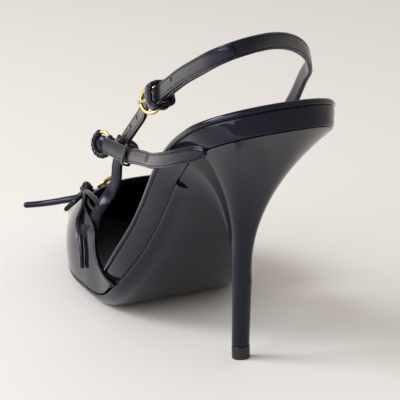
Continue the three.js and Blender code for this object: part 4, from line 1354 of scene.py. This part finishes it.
class SHOE_OT_hardware(ShoeOperator, Operator):
    """Builds the gold rings, the prong and the leather wrapped on the front ring"""
    bl_idname = "shoe.hardware"
    bl_label = "Rings"

    def execute(self, context):
        lines = Lines(context.scene.shoe_sizes)
        ring = whole_ring("sling_buckle_ring", lines.sling_ring, lines.radius, lines.wire)
        dressed(ring, FINISHES["gold"], "pale_gold_metal", "sling_ring", angle=80)
        self.add_prong(lines)
        front = whole_ring("instep_front_ring", lines.near_ring, lines.radius, lines.wire)
        dressed(front, FINISHES["gold"], "pale_gold_metal", "instep_ring", angle=80)
        wrap = ring_arc("front_ring_wrap", lines.near_ring, lines.radius,
                        lambda t: WRAP_RADIUS + WRAP_SWELL * abs(sin(t * pi * WRAP_TURNS)),
                        WRAP_FROM, WRAP_TO, 150)
        dressed(wrap, FINISHES["creased"], "patent_leather", angle=80)
        self.add_fold(lines.near_ring, lines.radius - lines.wire)
        return self.finished()

    def add_fold(self, ring, radius):
        """The strap's folded head, crumpled inside the front ring."""
        rings = []
        for t in crowded(24, 1.0):
            angle = lerp(-pi / 2, pi / 2, t)
            spread = max(cos(angle), 0.02)
            centre = ring.centre + ring.w * (radius * sin(angle))
            row = []
            for k in range(36):
                turn = 2 * pi * k / 36
                out = ring.ahead * (cos(turn) * radius * spread) + ring.axis * (sin(turn) * 1.5 * spread)
                p = centre + out
                row.append(p + out * (0.16 * noise.noise(p * 0.8)))
            rings.append(row)
        fold = skin("front_ring_fold", rings)
        dressed(fold, FINISHES["creased"], "patent_leather", angle=80)

    def add_prong(self, lines):
        """The prong crosses the ring over the billet and rests its tip on the leading side."""
        ring = lines.sling_ring
        wire = lines.wire
        reach = lines.radius
        points = [ring.centre + ring.ahead * (reach * ahead) + ring.axis * (wire * rise)
                  for ahead, rise in PRONG]
        centres = [spline_point(points, t) for t in crowded(30)]
        prong = tube("buckle_prong", centres, lambda t: PRONG_RADIUS * (1 - PRONG_TAPER * t ** 3), ring.w, 14)
        dressed(prong, FINISHES["gold"], "pale_gold_metal", angle=60)


class SHOE_OT_bow(ShoeOperator, Operator):
    """Builds the bow's knot, loops and ends, and its small ring"""
    bl_idname = "shoe.bow"
    bl_label = "Bow"

    def execute(self, context):
        sizes = context.scene.shoe_sizes
        width, thickness = sizes.lace_width / MM, sizes.lace_thickness / MM
        points = [over(row) for row in BOW_LOOP]
        middle = sum(points, Vector()) / len(points)
        loop = stations(points, [(p - middle).normalized() for p in points], 12)
        lying = [on_upper(row.at * LAST_LENGTH, row.around, -GAP - thickness / 2)
                 for row in BOW_DROP_ON_UPPER]
        drop = stations([*[over(row) for row in BOW_DROP], *lying],
                        [*[facing(row.faces, row.tilt) for row in BOW_DROP],
                         *[facing(80, 180 * row.around + 10) for row in BOW_DROP_ON_UPPER]], 12)
        strips = [(loop, 1.0, 1.0), (drop, 1.0, 0.9), (row_stations(BOW_TAIL, 12), 1.45, 1.0),
                  (row_stations(BOW_END, 12), 1.1, 0.9)]
        pieces = [self.strip("lace_%d" % i, line, width, thickness, *wide)
                  for i, (line, *wide) in enumerate(strips)]
        pieces.extend(self.knot(width, thickness))
        bow = joined("lace_bow", pieces)
        dressed(bow, FINISHES["patent"], "patent_leather", "bow", angle=80)
        self.add_ring()
        return self.finished()

    def strip(self, name, line, width, thickness, first, last):
        """One length of lace, its width drawn from the first share to the last, its ends rounded."""
        wide = iter([lerp(first, last, t) for t in crowded(len(line) - 1)])

        def ring(station, share):
            across = width * next(wide) * lerp(share, 1, 0.4)
            return lace_ring(station, across, thickness * first * lerp(share, 1, 0.2), LACE_EDGE)

        return skin(name, rounded_ends(line, 1.2, ring))

    def knot(self, width, thickness):
        """Two wraps of lace drawn tight over a round core."""
        place = over(KNOT)
        bpy.ops.object.select_all(action="DESELECT")
        bpy.ops.mesh.primitive_uv_sphere_add(segments=40, ring_count=24, radius=MM, location=place * MM)
        core = bpy.context.object
        core.scale = KNOT_CORE
        bpy.ops.object.transform_apply(location=True, rotation=True, scale=True)
        wraps = []
        for k, (turn, tilt) in enumerate(KNOT_WRAPS):
            axis = Vector((sin(tilt), cos(turn), sin(turn))).normalized()
            side = axis.cross(Vector((0, 0, 1))).normalized()
            up = side.cross(axis)
            rings = []
            for i in range(41):
                angle = 2 * pi * i / 40
                out = side * cos(angle) + up * sin(angle)
                swell = KNOT_WRAP_RADIUS + 0.12 * sin(angle * 3 + k)
                p = place + axis * (KNOT_WRAP_APART * (-1) ** k) + out * swell
                rings.append(lace_ring(Station(p, out, None, axis), width * 0.75, thickness * 0.8))
            rings[-1] = rings[0]
            wraps.append(skin("wrap_%d" % k, rings, capped=False))
        return [core, *wraps]

    def add_ring(self):
        centre = on_upper(BOW_RING_AT * LAST_LENGTH, BOW_RING_AROUND, -BOW_RING_RISE)
        axis = facing(BOW_RING_FACES, BOW_RING_LEAN)
        ahead = Vector((0, 0, 1)).cross(axis).normalized()
        spot = Frame(centre, ahead, axis, axis.cross(ahead))
        ring = whole_ring("bow_gold_ring", spot, (BOW_RING_DIAMETER - BOW_RING_WIRE) / 2, BOW_RING_WIRE)
        dressed(ring, FINISHES["gold"], "pale_gold_metal", "bow_ring", angle=80)


class SHOE_OT_stitching(ShoeOperator, Operator):
    """Sews the straps and the upper, and punches the billet's holes"""
    bl_idname = "shoe.stitching"
    bl_label = "Stitching"

    def execute(self, context):
        lines = Lines(context.scene.shoe_sizes)
        edge = lines.width / 2 - STITCH_INSET
        rise = lines.thickness / 2 * 0.86
        rows = []
        for name, line, start in (("sling", lines.sling, 9), ("near", lines.near, 2),
                                  ("far", lines.far, 1), ("middle", lines.middle, 12)):
            for side in (-1, 1):
                rows.append(stitch_row("%s_stitches" % name, line, edge * side, rise, start, 2))
        rows.append(self.vamp_row())
        stitches = joined("seam_stitches", rows)
        dressed(stitches, FINISHES["thread"], "patent_leather", angle=80)
        holes = []
        for k, reach in enumerate(BILLET_HOLES):
            station = station_at(lines.middle, reach)
            station = station._replace(p=station.p + station.w * HOLE_OFF_CENTRE)
            holes.append(punched_hole("hole_%d" % k, station, lines.thickness / 2 * STRAP_CROWN))
        # The holes' dark discs take the thread finish as painted shade
        dressed(joined("billet_holes", holes), FINISHES["thread"], "patent_leather", angle=80)
        return self.finished()

    def vamp_row(self):
        """One row down the upper beside the lace's long end."""
        points = [on_upper(row.at * LAST_LENGTH, row.around, -0.05) for row in UPPER_SEAM]
        outward = [facing(80, 180 * row.around + 10) for row in UPPER_SEAM]
        return stitch_row("vamp_stitches", stations(points, outward, 30), 0, 0)


class SHOE_OT_stage(ShoeOperator, Operator):
    """Sets the pale floor, the studio light and the camera"""
    bl_idname = "shoe.stage"
    bl_label = "Studio"

    def execute(self, context):
        self.add_floor(context)
        self.add_lights(context)
        self.add_camera(context)
        return self.finished()

    def add_floor(self, context):
        """Seamless paper: matt and pale, with a fine tooth."""
        bpy.ops.object.select_all(action="DESELECT")
        bpy.ops.mesh.primitive_plane_add(size=14)
        paper = context.object
        paper.name = "seamless_paper"
        material, tree, shader = new_material(
            "seamless_paper", Base_Color=(*context.scene.shoe_colours.floor, 1.0), Roughness=0.75)
        place = node(tree, "ShaderNodeTexCoord").outputs["Object"]
        noise_bump(tree, shader, place, [(3, 0.02, 2.0)])
        paper.data.materials.append(material)
        paper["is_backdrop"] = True

    def add_lights(self, context):
        context.scene.view_settings.view_transform = "Standard"
        world = context.scene.world or bpy.data.worlds.new("studio")
        context.scene.world = world
        world.use_nodes = True
        background = world.node_tree.nodes["Background"]
        background.inputs["Color"].default_value = linear(SKY_COLOUR)
        background.inputs["Strength"].default_value = SKY_STRENGTH
        for box in SOFTBOXES:
            self.add_softbox(box)

    def add_softbox(self, box):
        light = bpy.data.lights.new(box.name, "AREA")
        light.shape = "SQUARE"
        light.size = box.size
        light.energy = box.power
        light.color = SOFTBOX_COLOUR
        lamp = bpy.data.objects.new(box.name, light)
        lamp.location = box.place
        lamp.rotation_euler = (Vector(box.aim) - Vector(box.place)).to_track_quat("-Z", "Y").to_euler()
        bpy.context.scene.collection.objects.link(lamp)

    def add_camera(self, context):
        turn, pitch, roll = radians(CAMERA_TURN), radians(CAMERA_PITCH), radians(CAMERA_ROLL)
        back = Vector((-cos(turn) * cos(pitch), sin(turn) * cos(pitch), sin(pitch)))
        right = (-back).cross(Vector((0, 0, 1))).normalized()
        up = right.cross(-back)
        rolled = right * cos(roll) + up * sin(roll)
        upright = up * cos(roll) - right * sin(roll)
        aim = CAMERA_AIM + rolled * CAMERA_SHIFT[0] + upright * CAMERA_SHIFT[1]
        data = bpy.data.cameras.new("studio_camera")
        data.lens = CAMERA_LENS
        data.sensor_width = SENSOR_WIDTH
        data.clip_start = 0.05
        camera = bpy.data.objects.new("studio_camera", data)
        axes = Matrix((rolled, upright, back)).transposed().to_4x4()
        camera.matrix_world = Matrix.Translation((aim + back * CAMERA_DISTANCE) * MM) @ axes
        context.scene.collection.objects.link(camera)
        context.scene.camera = camera


class SHOE_PT_panel(Panel):
    """Sizes, colours and steps of the shoe"""
    bl_label = "Slingback Shoe"
    bl_space_type = "VIEW_3D"
    bl_region_type = "UI"
    bl_category = "Shoe"

    def draw(self, context):
        for group in (context.scene.shoe_sizes, context.scene.shoe_colours):
            box = self.layout.box()
            for name in group.__annotations__:
                box.prop(group, name)
        for operator in STEPS:
            self.layout.operator(operator.bl_idname)


STEPS = (
    SHOE_OT_stage,
    SHOE_OT_sole_unit,
    SHOE_OT_heel,
    SHOE_OT_vamp,
    SHOE_OT_straps,
    SHOE_OT_hardware,
    SHOE_OT_bow,
    SHOE_OT_stitching,
)
CLASSES = (ShoeSizes, ShoeColours, *STEPS, SHOE_PT_panel)


def register():
    for cls in CLASSES:
        bpy.utils.register_class(cls)
    bpy.types.Scene.shoe_sizes = PointerProperty(type=ShoeSizes)
    bpy.types.Scene.shoe_colours = PointerProperty(type=ShoeColours)


def unregister():
    del bpy.types.Scene.shoe_colours
    del bpy.types.Scene.shoe_sizes
    for cls in reversed(CLASSES):
        bpy.utils.unregister_class(cls)


def main():
    register()
    make_finishes(bpy.context.scene.shoe_colours)
    bpy.ops.shoe.stage()
    bpy.ops.shoe.sole_unit()
    bpy.ops.shoe.heel()
    bpy.ops.shoe.vamp()
    bpy.ops.shoe.straps()
    bpy.ops.shoe.hardware()
    bpy.ops.shoe.bow()
    bpy.ops.shoe.stitching()
    boxes = {"cad": CAD_BOX, "visual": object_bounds()}
    lists = {key: [list(corner) for corner in box] for key, box in boxes.items()}


if __name__ == "__main__":
    main()
